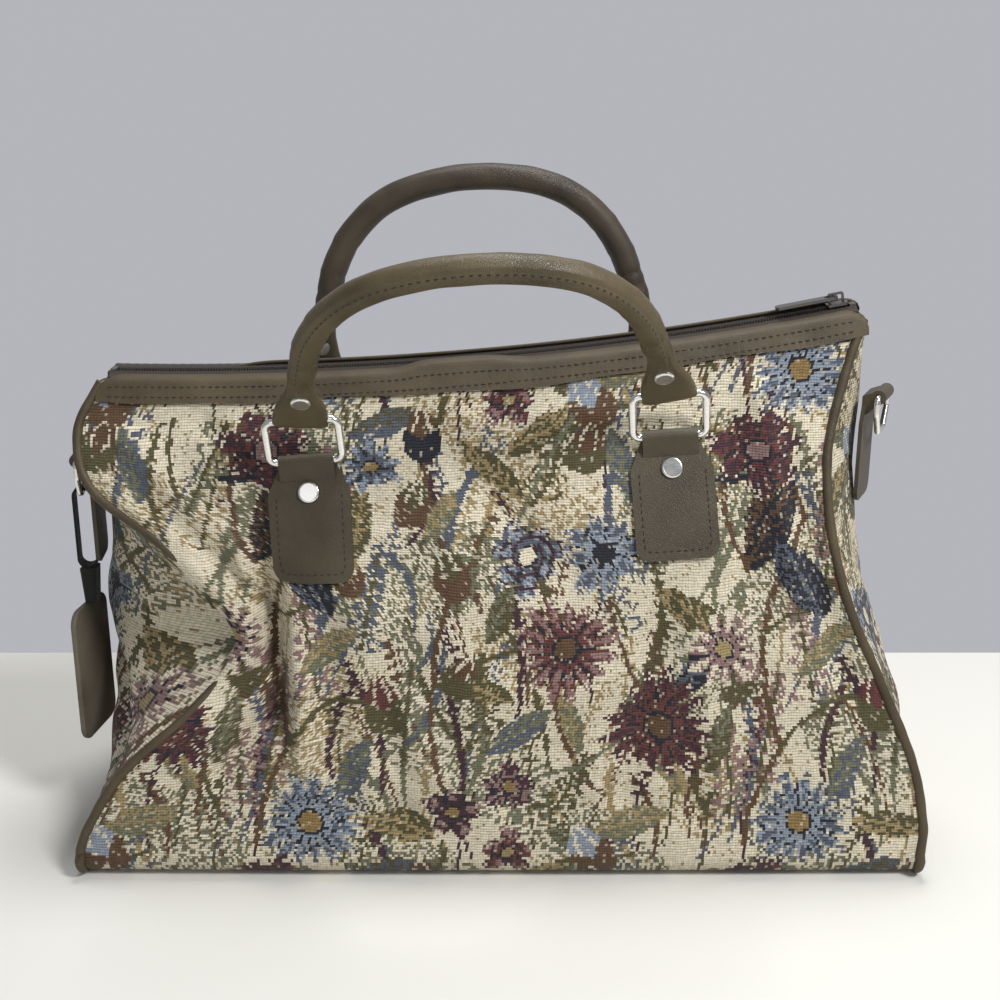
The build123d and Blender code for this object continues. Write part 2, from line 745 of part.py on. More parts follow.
def end_tab(centre, turn):
    frame = tab_frame(centre, turn)
    half_neck = tab_neck / 2
    half = tab_width / 2
    across = Plane(origin=frame.from_local_coords((-half_neck, 0, 0)), x_dir=frame.z_dir, z_dir=frame.x_dir)
    down_sign = 1 if across.y_dir.Z > 0 else -1
    plate_back = loop_radius + tab_stand
    with BuildPart() as tab:
        with BuildSketch(frame.offset(-loop_radius - tab_stand)):
            with BuildLine():
                FilletPolyline((-half_neck, 0), (-half_neck, -half_neck / 2), (-half, -half),
                               (-half, -tab_length), (half, -tab_length), (half, -half),
                               (half_neck, -half_neck / 2), (half_neck, 0),
                               radius=[tab_corner / 2, tab_corner / 2, tab_corner, tab_corner,
                                       tab_corner / 2, tab_corner / 2])
                Line((half_neck, 0), (-half_neck, 0))
            make_face()
        extrude(amount=tab_thickness)
        with BuildSketch(across):
            Circle(loop_radius)
            with BuildLine():
                Polyline((loop_radius, 0), (tab_thickness - plate_back, -down_sign * half_neck),
                         (-plate_back, -down_sign * half_neck), (-plate_back, 0),
                         (-loop_radius, down_sign * loop_radius / 2), (loop_radius, 0))
            make_face()
        extrude(amount=tab_neck)
        with BuildSketch(across):
            Circle(dring_wire + loop_clearance)
        extrude(amount=tab_neck, mode=Mode.SUBTRACT)
    return tab.part


def d_ring(centre, turn):
    frame = tab_frame(centre, turn)
    half = dring_width / 2
    corners = [(-half, 0), (half, 0), (half, -dring_drop * 0.45), (half * 0.5, -dring_drop),
               (-half * 0.5, -dring_drop), (-half, -dring_drop * 0.45)]
    with BuildPart() as ring:
        with BuildLine(frame) as path:
            FilletPolyline(*corners, radius=dring_corner, close=True)
        with BuildSketch(Plane(origin=path.line @ 0, z_dir=path.line % 0)):
            Circle(dring_wire)
        sweep()
    return ring.part


for name, centre, turn in (("left", tab_left, tab_left_turn), ("right", tab_right, tab_right_turn)):
    save(end_tab(centre, turn), f"end_tab_{name}")
    save(d_ring(centre, turn), f"d_ring_{name}")

# Luggage tag: a strap looped through the left D-ring, a keeper and the tag itself
tag_hang = Vector(tab_left[0], tab_left[1], tab_left[2] - dring_drop)
tag_top = tag_hang.Z + dring_wire + fit + tag_strap_thickness
tag_bottom = tag_top - tag_loop_height
tag_out = Vector(cos(radians(tab_left_turn)), sin(radians(tab_left_turn)), 0)
tag_view = Plane(origin=(tag_hang.X, tag_hang.Y, 0), x_dir=-tag_out, z_dir=Vector(0, 0, 1).cross(tag_out))

with BuildPart() as tag_strap:
    with BuildSketch(tag_view):
        with Locations((0, (tag_top + tag_bottom) / 2)):
            SlotOverall(tag_loop_height, tag_loop_width, rotation=90)
            SlotOverall(tag_loop_height - 2 * tag_strap_thickness, tag_loop_width - 2 * tag_strap_thickness,
                        rotation=90, mode=Mode.SUBTRACT)
    extrude(amount=tag_strap_width / 2, both=True)
save(tag_strap.part, "tag_strap")

keeper_top = tag_bottom - fit
with BuildPart() as tag_keeper:
    with BuildSketch(Plane.XY.offset(keeper_top)):
        with Locations((tag_hang.X, tag_hang.Y)):
            RectangleRounded(tag_keeper_size[0], tag_keeper_size[1], tag_keeper_size[0] / 4)
    extrude(amount=-tag_keeper_size[2], taper=4)
save(tag_keeper.part, "tag_keeper")

tag_middle = Vector(tag_hang.X - tag_shift, tag_hang.Y, keeper_top - tag_keeper_size[2] - fit - tag_length / 2)
tag_side = Vector(sin(radians(tag_turn)), cos(radians(tag_turn)), 0)
tag_plane = Plane(origin=tag_middle, x_dir=tag_side, z_dir=tag_side.cross(Vector(0, 0, 1)))

with BuildPart() as luggage_tag:
    with BuildSketch(tag_plane.offset(-tag_thickness / 2)):
        RectangleRounded(tag_width, tag_length, tag_width / 5)
    extrude(amount=tag_thickness)
    fillet(luggage_tag.faces().filter_by(tag_plane).edges(), tag_thickness / 3)
save(luggage_tag.part, "luggage_tag")

# Stiff board that keeps the base flat, lying on the cloth inside
with BuildPart() as base_board:
    with BuildSketch(Plane.XY.offset(cloth)):
        RectangleRounded(board_length, board_depth, base_corner_radius)
    extrude(amount=board_thickness)
save(base_board.part, "base_board")
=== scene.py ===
import bpy
import json
import numpy as np
from math import atan2, cos, hypot, pi, radians, sin
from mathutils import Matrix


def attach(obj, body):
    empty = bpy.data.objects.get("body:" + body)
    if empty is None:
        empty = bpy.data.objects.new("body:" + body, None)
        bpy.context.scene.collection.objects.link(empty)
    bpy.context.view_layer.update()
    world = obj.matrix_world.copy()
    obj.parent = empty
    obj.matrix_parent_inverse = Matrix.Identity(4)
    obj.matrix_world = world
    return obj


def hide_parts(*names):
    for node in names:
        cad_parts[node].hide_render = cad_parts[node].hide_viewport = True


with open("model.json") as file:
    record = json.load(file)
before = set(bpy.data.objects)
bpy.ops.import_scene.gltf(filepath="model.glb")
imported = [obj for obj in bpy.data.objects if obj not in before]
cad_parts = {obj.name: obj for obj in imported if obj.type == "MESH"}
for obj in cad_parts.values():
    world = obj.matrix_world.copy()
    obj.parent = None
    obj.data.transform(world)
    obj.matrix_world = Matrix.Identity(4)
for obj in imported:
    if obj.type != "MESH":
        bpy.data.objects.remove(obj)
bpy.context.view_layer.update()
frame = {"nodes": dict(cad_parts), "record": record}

MM = 0.001

# Sizes of the bag in millimetres, the same as the source's
base_half_depth, mouth_half_gap, face_bulge, bulge_reach = 90.0, 10.0, 20.0, 330.0
base_corner_radius, base_half_length = 12.0, 216.0
pinch_depth, pinch_x, pinch_z, pinch_width, pinch_height = 20.0, -128.0, 118.0, 26.0, 45.0
zip_left, zip_right, zip_sag = (-207.0, 249.0), (187.0, 284.0), 11.0
front_left_seam = [(-206, 245), (-217, 222), (-209, 194), (-173, 169), (-138, 137), (-129, 116),
                   (-156, 88), (-191, 58), (-210, 30)]
front_right_seam = [(185, 277), (176, 254), (166, 219), (165, 196), (168, 170), (176, 140),
                    (192, 104), (210, 62), (217, 28)]
back_left_seam = [(-206, 245), (-213, 215), (-211, 180), (-203, 150), (-200, 122), (-203, 92),
                  (-210, 60), (-214, 28)]
back_right_seam = [(185, 277), (184, 250), (180, 215), (178, 180), (182, 145), (190, 110),
                   (204, 66), (215, 28)]
left_end_line = [(-211, 0, 243), (-213, 3, 210), (-212, 8, 168), (-213, 8, 140), (-214, 4, 112),
                 (-215, -2, 80), (-216, -4, 46), (-217, 0, 5)]
right_end_line = [(191, 4, 275), (190, 6, 236), (189, 10, 200), (193, 10, 160), (202, 8, 122),
                  (214, 2, 86), (219, 0, 50), (218, 0, 5)]
piping_radius = 2.5
band_drop, band_thickness, band_lip_y = 13.0, 1.6, 5.2
tape_inner_y, tape_outer_y, chain_outer_y, chain_inner_y, tooth_pitch = 3.2, 9.6, 3.0, 0.3, 1.45
zip_inset, stop_length = 4.0, 3.0
ring_left, ring_right = (-98.0, 209.6), (85.5, 222.8)
patch_half, patch_length, patch_top, patch_stand = 21.0, 58.0, 16.0, 2.4
handle_radius, handle_rise, leg_rise, leg_inset = 7.0, 106.0, 38.0, 7.0
lean_front, lean_back = 42.0, 3.0

zip_chord = hypot(zip_right[0] - zip_left[0], zip_right[1] - zip_left[1])
zip_rise = atan2(zip_right[1] - zip_left[1], zip_right[0] - zip_left[0])
zip_radius = zip_chord**2 / (8 * zip_sag) + zip_sag / 2
zip_centre_x = (zip_left[0] + zip_right[0]) / 2 - sin(zip_rise) * (zip_radius - zip_sag)
zip_centre_z = (zip_left[1] + zip_right[1]) / 2 + cos(zip_rise) * (zip_radius - zip_sag)
bar_turn = atan2(ring_right[1] - ring_left[1], ring_right[0] - ring_left[0])


def zip_height(x):
    return zip_centre_z - np.sqrt(zip_radius**2 - (x - zip_centre_x) ** 2)


def hill(value, centre, width):
    return np.exp(-(((value - centre) / width) ** 2))


def face_y(side, x, z):
    """Outer face of the cloth in the source, as arrays."""
    rise = z / zip_height(x)
    swell = face_bulge * (1 - (x / bulge_reach) ** 2) * np.sin(pi * np.clip(rise, 0, 1))
    depth = base_half_depth * (1 - rise) + mouth_half_gap * rise + swell
    if side < 0:
        depth = depth - pinch_depth * hill(x, pinch_x, pinch_width) * hill(z, pinch_z, pinch_height)
    return side * depth


def smooth_reading(points, z):
    """x at height z on a smooth line through points (x, z), upright at its lower end."""
    slopes = []
    for i in range(len(points) - 1):
        high, low = points[max(i - 1, 0)], points[i + 1]
        slopes.append((high[0] - low[0]) / (high[1] - low[1]))
    slopes.append(0)
    for i in range(len(points) - 1):
        (high_x, high_z), (low_x, low_z) = points[i], points[i + 1]
        if z >= low_z or i == len(points) - 2:
            span = high_z - low_z
            t = (z - low_z) / span
            return (low_x * (1 + 2 * t) * (1 - t) ** 2 + slopes[i + 1] * span * t * (1 - t) ** 2
                    + high_x * t**2 * (3 - 2 * t) + slopes[i] * span * t**2 * (t - 1))


def seam_x(points, foot_x, z):
    """x of a seam at heights z, an array."""
    knots = points + [(foot_x, base_corner_radius)]
    top = knots[0][1]
    return np.array([smooth_reading(knots, min(max(h, base_corner_radius), top)) for h in z])


# Meshes
def mesh_object(name, verts, faces, material, smooth=True):
    """An object from points in millimetres and faces."""
    data = bpy.data.meshes.new(name)
    data.from_pydata((np.asarray(verts, dtype=float) * MM).tolist(), [], [tuple(f) for f in faces])
    data.polygons.foreach_set("use_smooth", [smooth] * len(data.polygons))
    data.update()
    piece = bpy.data.objects.new(name, data)
    bpy.context.scene.collection.objects.link(piece)
    data.materials.append(material)
    return piece


def grid_faces(rows, columns, flip=False, closed=False):
    """Faces of a grid of points listed row by row; closed joins the last column to the first."""
    width = columns if closed else columns - 1
    i, j = np.meshgrid(np.arange(rows - 1), np.arange(width), indexing="ij")
    a = (i * columns + j).ravel()
    b = (i * columns + (j + 1) % columns).ravel()
    quads = np.stack([a, b, b + columns, a + columns], axis=1)
    return quads[:, ::-1] if flip else quads


def tube_ends(rings, sides):
    """The two end faces of a tube whose points are listed ring by ring."""
    last = (rings - 1) * sides
    return [list(range(sides))[::-1], list(range(last, last + sides))]


def grid_object(name, points, material, flip=False, uv=None, colour=None):
    """A sheet from a rows x columns x 3 array, with its cloth place and its print colour where given."""
    rows, columns = points.shape[:2]
    faces = grid_faces(rows, columns, flip)
    piece = mesh_object(name, points.reshape(-1, 3), faces, material)
    if uv is not None:
        place = uv.reshape(-1, 2)
        layer = piece.data.uv_layers.new(name="cloth")
        layer.data.foreach_set("uv", place[faces.ravel()].ravel())
    if colour is not None:
        flat = np.concatenate([colour, np.ones((len(colour), 1))], axis=1)
        store = piece.data.attributes.new("print", "FLOAT_COLOR", "CORNER")
        store.data.foreach_set("color", np.repeat(flat, 4, axis=0).ravel())
    return piece


def tube(name, path, radii, material, sides):
    """A closed tube round a path, with a radius for each of its points."""
    run = np.gradient(path, axis=0)
    run /= np.linalg.norm(run, axis=1)[:, None]
    across = np.zeros_like(path)
    start = np.array([1.0, 0, 0]) if abs(run[0][0]) < 0.9 else np.array([0, 1.0, 0])
    for i, way in enumerate(run):
        start = start - way * start.dot(way)
        start /= np.linalg.norm(start)
        across[i] = start
    other = np.cross(run, across)
    angle = np.arange(sides) * 2 * pi / sides
    spokes = (across[:, None, :] * np.cos(angle)[None, :, None]
              + other[:, None, :] * np.sin(angle)[None, :, None])
    rings = path[:, None, :] + radii[:, None, None] * spokes
    faces = grid_faces(len(path), sides, closed=True).tolist() + tube_ends(len(path), sides)
    return mesh_object(name, rings.reshape(-1, 3), faces, material)


stitch_places, stitch_swell = np.array([0, 0.18, 0.5, 0.82, 1]), (0.35, 0.9, 1, 0.9, 0.35)
stitch_lift, stitch_sink, stitch_sides = (-0.5, 0.1, 0.35, 0.1, -0.5), 0.12, 6
# Length of a stitch, gap to the next and radius of its thread
band_stitch, patch_stitch, handle_stitch = (2.6, 1.1, 0.42), (2.3, 1.3, 0.36), (2.4, 1.4, 0.36)


def stitches(name, path, outward, length, gap, radius):
    """Thread stitches laid end to end along a path on a surface with outward directions."""
    steps = np.linalg.norm(np.diff(path, axis=0), axis=1)
    along = np.concatenate([[0], np.cumsum(steps)])
    verts, faces = [], []
    place = gap
    while place + length < along[-1]:
        stations = place + length * stitch_places
        middle = np.stack([np.interp(stations, along, path[:, k]) for k in range(3)], axis=1)
        up = np.stack([np.interp(stations, along, outward[:, k]) for k in range(3)], axis=1)
        up /= np.linalg.norm(up, axis=1)[:, None]
        run = middle[-1] - middle[0]
        run /= np.linalg.norm(run)
        first = len(verts)
        for point, rise, size, lift in zip(middle, up, stitch_swell, stitch_lift):
            aside = np.cross(run, rise)
            for k in range(stitch_sides):
                a = k * 2 * pi / stitch_sides
                height = radius * (lift + sin(a) * size) - stitch_sink
                verts.append(point + rise * height + aside * cos(a) * size * radius)
        faces += (grid_faces(len(middle), stitch_sides, closed=True) + first).tolist()
        faces += [[first + k for k in face] for face in tube_ends(len(middle), stitch_sides)]
        place += length + gap
    return mesh_object(name, verts, faces, thread)


# Materials
def new_material(name, rough, metal=0.0, sheen=0.0, spec=0.5):
    material = bpy.data.materials.new(name)
    material.use_nodes = True
    shader = material.node_tree.nodes["Principled BSDF"]
    shader.inputs["Roughness"].default_value = rough
    shader.inputs["Metallic"].default_value = metal
    shader.inputs["Sheen Weight"].default_value = sheen
    shader.inputs["Specular IOR Level"].default_value = spec
    return material, material.node_tree, shader


def node(tree, kind, **settings):
    made = tree.nodes.new(kind)
    for key, value in settings.items():
        setattr(made, key, value)
    return made


def feed(tree, made, socket, value):
    if isinstance(value, (int, float, tuple)):
        made.inputs[socket].default_value = value
    else:
        tree.links.new(value, made.inputs[socket])


def sums(tree, operation, a, b=0.0):
    made = node(tree, "ShaderNodeMath", operation=operation)
    feed(tree, made, 0, a)
    feed(tree, made, 1, b)
    return made.outputs[0]


def noise(tree, scale, detail, stretch=(1, 1, 1)):
    place = node(tree, "ShaderNodeTexCoord").outputs["Object"]
    shift = node(tree, "ShaderNodeMapping")
    shift.inputs["Scale"].default_value = stretch
    tree.links.new(place, shift.inputs["Vector"])
    made = node(tree, "ShaderNodeTexNoise")
    made.inputs["Scale"].default_value = scale
    made.inputs["Detail"].default_value = detail
    tree.links.new(shift.outputs[0], made.inputs["Vector"])
    return made.outputs["Fac"]


def ramp(tree, source, stops):
    made = node(tree, "ShaderNodeValToRGB")
    bar = made.color_ramp
    bar.elements[0].position, bar.elements[1].position = stops[0][0], stops[-1][0]
    bar.elements[0].color, bar.elements[1].color = (*stops[0][1], 1), (*stops[-1][1], 1)
    for place, colour in stops[1:-1]:
        bar.elements.new(place).color = (*colour, 1)
    tree.links.new(source, made.inputs[0])
    return made.outputs[0]


def blend_colour(tree, kind, share, a, b):
    made = node(tree, "ShaderNodeMix", data_type="RGBA", blend_type=kind)
    feed(tree, made, 0, share)
    for socket, value in ((6, a), (7, b)):
        feed(tree, made, socket, value)
    return made.outputs[2]


def bump(tree, shader, height, depth, strength):
    """Small relief of a depth in millimetres."""
    made = node(tree, "ShaderNodeBump")
    made.inputs["Strength"].default_value = strength
    made.inputs["Distance"].default_value = depth * MM
    tree.links.new(height, made.inputs["Height"])
    tree.links.new(made.outputs[0], shader.inputs["Normal"])


grain_scale, grain_depth, edge_width, scratch = 900.0, 0.25, 0.18, 0.12


def leather(name, dark, light, rough):
    """Leatherette: cloudy colour, fine grain with hair lines, worn lighter in places."""
    material, tree, shader = new_material(name, rough, spec=0.35)
    cloud = noise(tree, 38, 5)
    fine = noise(tree, grain_scale * 2, 3)
    tone = ramp(tree, cloud, [(0.3, dark), (0.72, light)])
    speck = ramp(tree, fine, [(0.35, (0.72, 0.72, 0.72)), (0.7, (1.1, 1.1, 1.1))])
    tree.links.new(blend_colour(tree, "MULTIPLY", 0.6, tone, speck), shader.inputs["Base Color"])
    cells = node(tree, "ShaderNodeTexVoronoi", feature="DISTANCE_TO_EDGE")
    cells.inputs["Scale"].default_value = grain_scale
    tree.links.new(node(tree, "ShaderNodeTexCoord").outputs["Object"], cells.inputs["Vector"])
    edge = sums(tree, "MINIMUM", cells.outputs["Distance"], edge_width)
    height = sums(tree, "ADD", sums(tree, "MULTIPLY", edge, 3.0), sums(tree, "MULTIPLY", cloud, 1.5))
    bump(tree, shader, height, grain_depth, 0.55)
    gloss = sums(tree, "ADD", sums(tree, "MULTIPLY", cloud, 0.25), rough - 0.12)
    tree.links.new(gloss, shader.inputs["Roughness"])
    return material


def metal(name, colour, rough):
    """Plated metal with fine marks."""
    material, tree, shader = new_material(name, rough, metal=1.0)
    marks = noise(tree, 260, 4, (1, 1, 6))
    dull = tuple(c * 0.86 for c in colour)
    tree.links.new(ramp(tree, marks, [(0.3, dull), (0.65, colour)]), shader.inputs["Base Color"])
    tree.links.new(sums(tree, "ADD", sums(tree, "MULTIPLY", marks, scratch), rough - scratch / 2),
                   shader.inputs["Roughness"])
    bump(tree, shader, noise(tree, 1500, 2), 0.02, 0.25)
    return material


def woven(name, dark, light, pitch, rough=0.9, sheen=0.2, fuzz=0.5):
    """Plain narrow cloth: crossing threads at a pitch in millimetres, with loose fibres."""
    material, tree, shader = new_material(name, rough, sheen=sheen, spec=0.25)
    place = node(tree, "ShaderNodeTexCoord").outputs["Object"]
    axes = node(tree, "ShaderNodeSeparateXYZ")
    tree.links.new(place, axes.inputs[0])
    turn = 2 * pi / (pitch * MM)
    level = sums(tree, "ADD", axes.outputs[0], axes.outputs[1])
    wave_a = sums(tree, "SINE", sums(tree, "MULTIPLY", level, turn))
    wave_b = sums(tree, "SINE", sums(tree, "MULTIPLY", axes.outputs[2], turn))
    threads = sums(tree, "MULTIPLY", wave_a, wave_b)
    fibres = sums(tree, "MULTIPLY", noise(tree, 1400, 4), fuzz)
    height = sums(tree, "ADD", fibres, sums(tree, "MULTIPLY", threads, 0.3))
    # Colour follows the height: the low parts between threads are darker, which is painted shade, and the
    # loose fibres vary the tone at random.
    tree.links.new(ramp(tree, height, [(0.1, dark), (0.6, light)]), shader.inputs["Base Color"])
    bump(tree, shader, height, 0.5, 0.6)
    return material


slub_scale, slub_wander, fibre_scale = 90.0, 5.5, 2600


def tapestry_material():
    """The print is in the mesh's colours; threads, ribs and slubs follow the cloth's place."""
    material, tree, shader = new_material("tapestry", 0.92, sheen=0.12, spec=0.2)
    printed = node(tree, "ShaderNodeAttribute", attribute_name="print").outputs["Color"]
    place = node(tree, "ShaderNodeUVMap", uv_map="cloth").outputs["UV"]
    axes = node(tree, "ShaderNodeSeparateXYZ")
    tree.links.new(place, axes.inputs[0])
    slub = node(tree, "ShaderNodeTexNoise")
    slub.inputs["Scale"].default_value = slub_scale
    slub.inputs["Detail"].default_value = 3.0
    tree.links.new(place, slub.inputs["Vector"])
    wander = sums(tree, "MULTIPLY", sums(tree, "SUBTRACT", slub.outputs["Fac"], 0.5), slub_wander)
    turn = 1000 * pi / weave_cell
    warp = sums(tree, "SINE", sums(tree, "ADD", sums(tree, "MULTIPLY", axes.outputs[0], turn), wander))
    weft = sums(tree, "SINE", sums(tree, "ADD", sums(tree, "MULTIPLY", axes.outputs[1], turn), wander))
    warp_high, weft_high = sums(tree, "ABSOLUTE", warp), sums(tree, "ABSOLUTE", weft)
    warp_rib, weft_rib = sums(tree, "POWER", warp_high, 0.28), sums(tree, "POWER", weft_high, 0.7)
    cell = sums(tree, "MULTIPLY", warp_rib, weft_rib)
    shade = ramp(tree, cell, [(0.1, (0.36, 0.33, 0.29)), (0.6, (1.0, 1.0, 1.0))])
    fibre = ramp(tree, noise(tree, fibre_scale, 3),
                 [(0.3, (0.72, 0.72, 0.72)), (0.7, (1.12, 1.12, 1.12))])
    tone = blend_colour(tree, "MULTIPLY", 0.8, printed, shade)
    tree.links.new(blend_colour(tree, "MULTIPLY", 0.7, tone, fibre), shader.inputs["Base Color"])
    height = sums(tree, "ADD", cell, sums(tree, "MULTIPLY", noise(tree, fibre_scale, 3), 0.4))
    bump(tree, shader, height, 0.45, 0.75)
    return material


# The woven print: colours of the threads in linear light, and its motifs in millimetres on one tile
weave_cell = 1.45
tile_width, tile_height = 250.0, 236.0
cream, straw, sage = (0.72, 0.65, 0.50), (0.34, 0.26, 0.13), (0.17, 0.17, 0.11)
olive, brown, ink = (0.10, 0.088, 0.042), (0.12, 0.07, 0.04), (0.026, 0.027, 0.036)
burgundy, plum, mauve = (0.13, 0.05, 0.045), (0.065, 0.033, 0.042), (0.27, 0.17, 0.16)
slate, haze, ochre = (0.10, 0.115, 0.145), (0.27, 0.31, 0.37), (0.27, 0.18, 0.075)

stems = [([(-125, 8), (-108, 60), (-118, 118), (-96, 176), (-104, 228)], 1.6, brown),
         ([(-108, 60), (-82, 84), (-59, 78)], 1.3, olive),
         ([(-118, 118), (-88, 132), (-70, 160)], 1.3, olive),
         ([(-28, 36), (-34, 90), (-22, 146), (-40, 214)], 1.4, brown),
         ([(-34, 90), (0, 108), (33, 110)], 1.3, olive),
         ([(-22, 146), (8, 158), (15, 190), (44, 240)], 1.3, sage),
         ([(84, 74), (62, 110), (56, 150)], 1.3, brown),
         ([(110, 20), (98, 52), (84, 74)], 1.4, olive), ([(5, 36), (40, 50), (84, 74)], 1.2, sage),
         ([(125, 150), (112, 196), (120, 232)], 1.5, brown),
         ([(56, 150), (86, 190), (82, 230)], 1.2, olive)]
leaves = [(-114, 178, 58, 24, 66, ink, brown), (-98, 146, 48, 20, 118, ink, slate),
          (-124, 208, 44, 18, 20, ink, sage), (-86, 110, 40, 13, 34, sage, straw),
          (-72, 176, 42, 14, 80, olive, straw), (-50, 118, 38, 12, 120, sage, cream),
          (-10, 92, 38, 13, 150, olive, straw), (10, 70, 40, 14, 28, slate, sage),
          (36, 74, 34, 11, 96, sage, straw), (0, 130, 34, 12, 60, olive, sage),
          (36, 176, 50, 15, 48, straw, cream), (-4, 204, 44, 14, 130, olive, straw),
          (62, 206, 42, 15, 100, slate, sage), (96, 130, 42, 16, 140, olive, straw),
          (100, 104, 38, 15, 40, ink, slate), (66, 20, 42, 15, 10, sage, straw),
          (40, 10, 34, 13, 150, olive, sage), (-50, 18, 42, 15, 164, olive, straw),
          (-74, 48, 40, 14, 58, slate, sage), (-60, 228, 38, 14, 12, slate, olive),
          (110, 66, 36, 13, 62, olive, sage), (20, 224, 38, 13, 30, olive, straw),
          (-30, 180, 32, 11, 50, sage, straw), (86, 48, 30, 11, 120, straw, sage)]
flowers = [(-97, 20, 29, 15, haze, slate, ochre), (33, 112, 29, 15, burgundy, mauve, brown),
           (80, 72, 31, 16, burgundy, plum, brown), (-24, 26, 17, 5, plum, mauve, ochre),
           (4, 40, 16, 5, mauve, plum, ochre), (4, 4, 16, 5, burgundy, mauve, straw),
           (-120, 214, 27, 7, burgundy, plum, mauve), (112, 112, 22, 11, mauve, cream, straw),
           (-66, 206, 18, 9, slate, haze, ochre), (52, 160, 24, 8, haze, slate, ink),
           (14, 158, 22, 7, slate, haze, cream)]
buds = [(-59, 82, 32, 18, 100, burgundy, olive), (-25, 150, 27, 17, 110, olive, brown),
        (-20, 98, 25, 16, 60, brown, olive), (-40, 222, 28, 17, 92, brown, ink),
        (-44, 186, 26, 16, 74, olive, brown), (46, 240, 32, 20, 120, haze, brown),
        (44, 216, 28, 18, 76, brown, olive), (-128, 96, 28, 16, 60, mauve, olive),
        (-76, 148, 22, 13, 100, straw, brown)]
sprigs = [(-78, 218, 62, 260, mauve), (-50, 50, 62, 84, sage), (64, 118, 56, 110, slate),
          (-6, 176, 48, 250, sage), (98, 160, 70, 80, straw), (-92, 84, 56, 100, mauve),
          (24, 20, 44, 60, olive), (108, 226, 50, 250, sage), (-120, 40, 60, 80, mauve),
          (70, 240, 44, 200, slate), (-6, 60, 50, 96, olive), (118, 20, 60, 94, mauve),
          (-70, 110, 50, 80, slate), (20, 190, 50, 70, olive)]


def grasses(count):
    """Thin bowed blades all over the ground: x, y, length, angle, bow and colour of each."""
    draw, tints = np.random.default_rng(21), (brown, olive, sage, slate, straw, plum)
    return [(draw.uniform(-125, 125), draw.uniform(0, tile_height), draw.uniform(34, 84),
             draw.uniform(62, 118), draw.uniform(-9, 9), tints[draw.integers(6)]) for _ in range(count)]


flower_turn, blade_count = 13, 95


def nearest(value, centre, period):
    """Distance from the nearest repeat of centre."""
    return (value - centre + period / 2) % period - period / 2


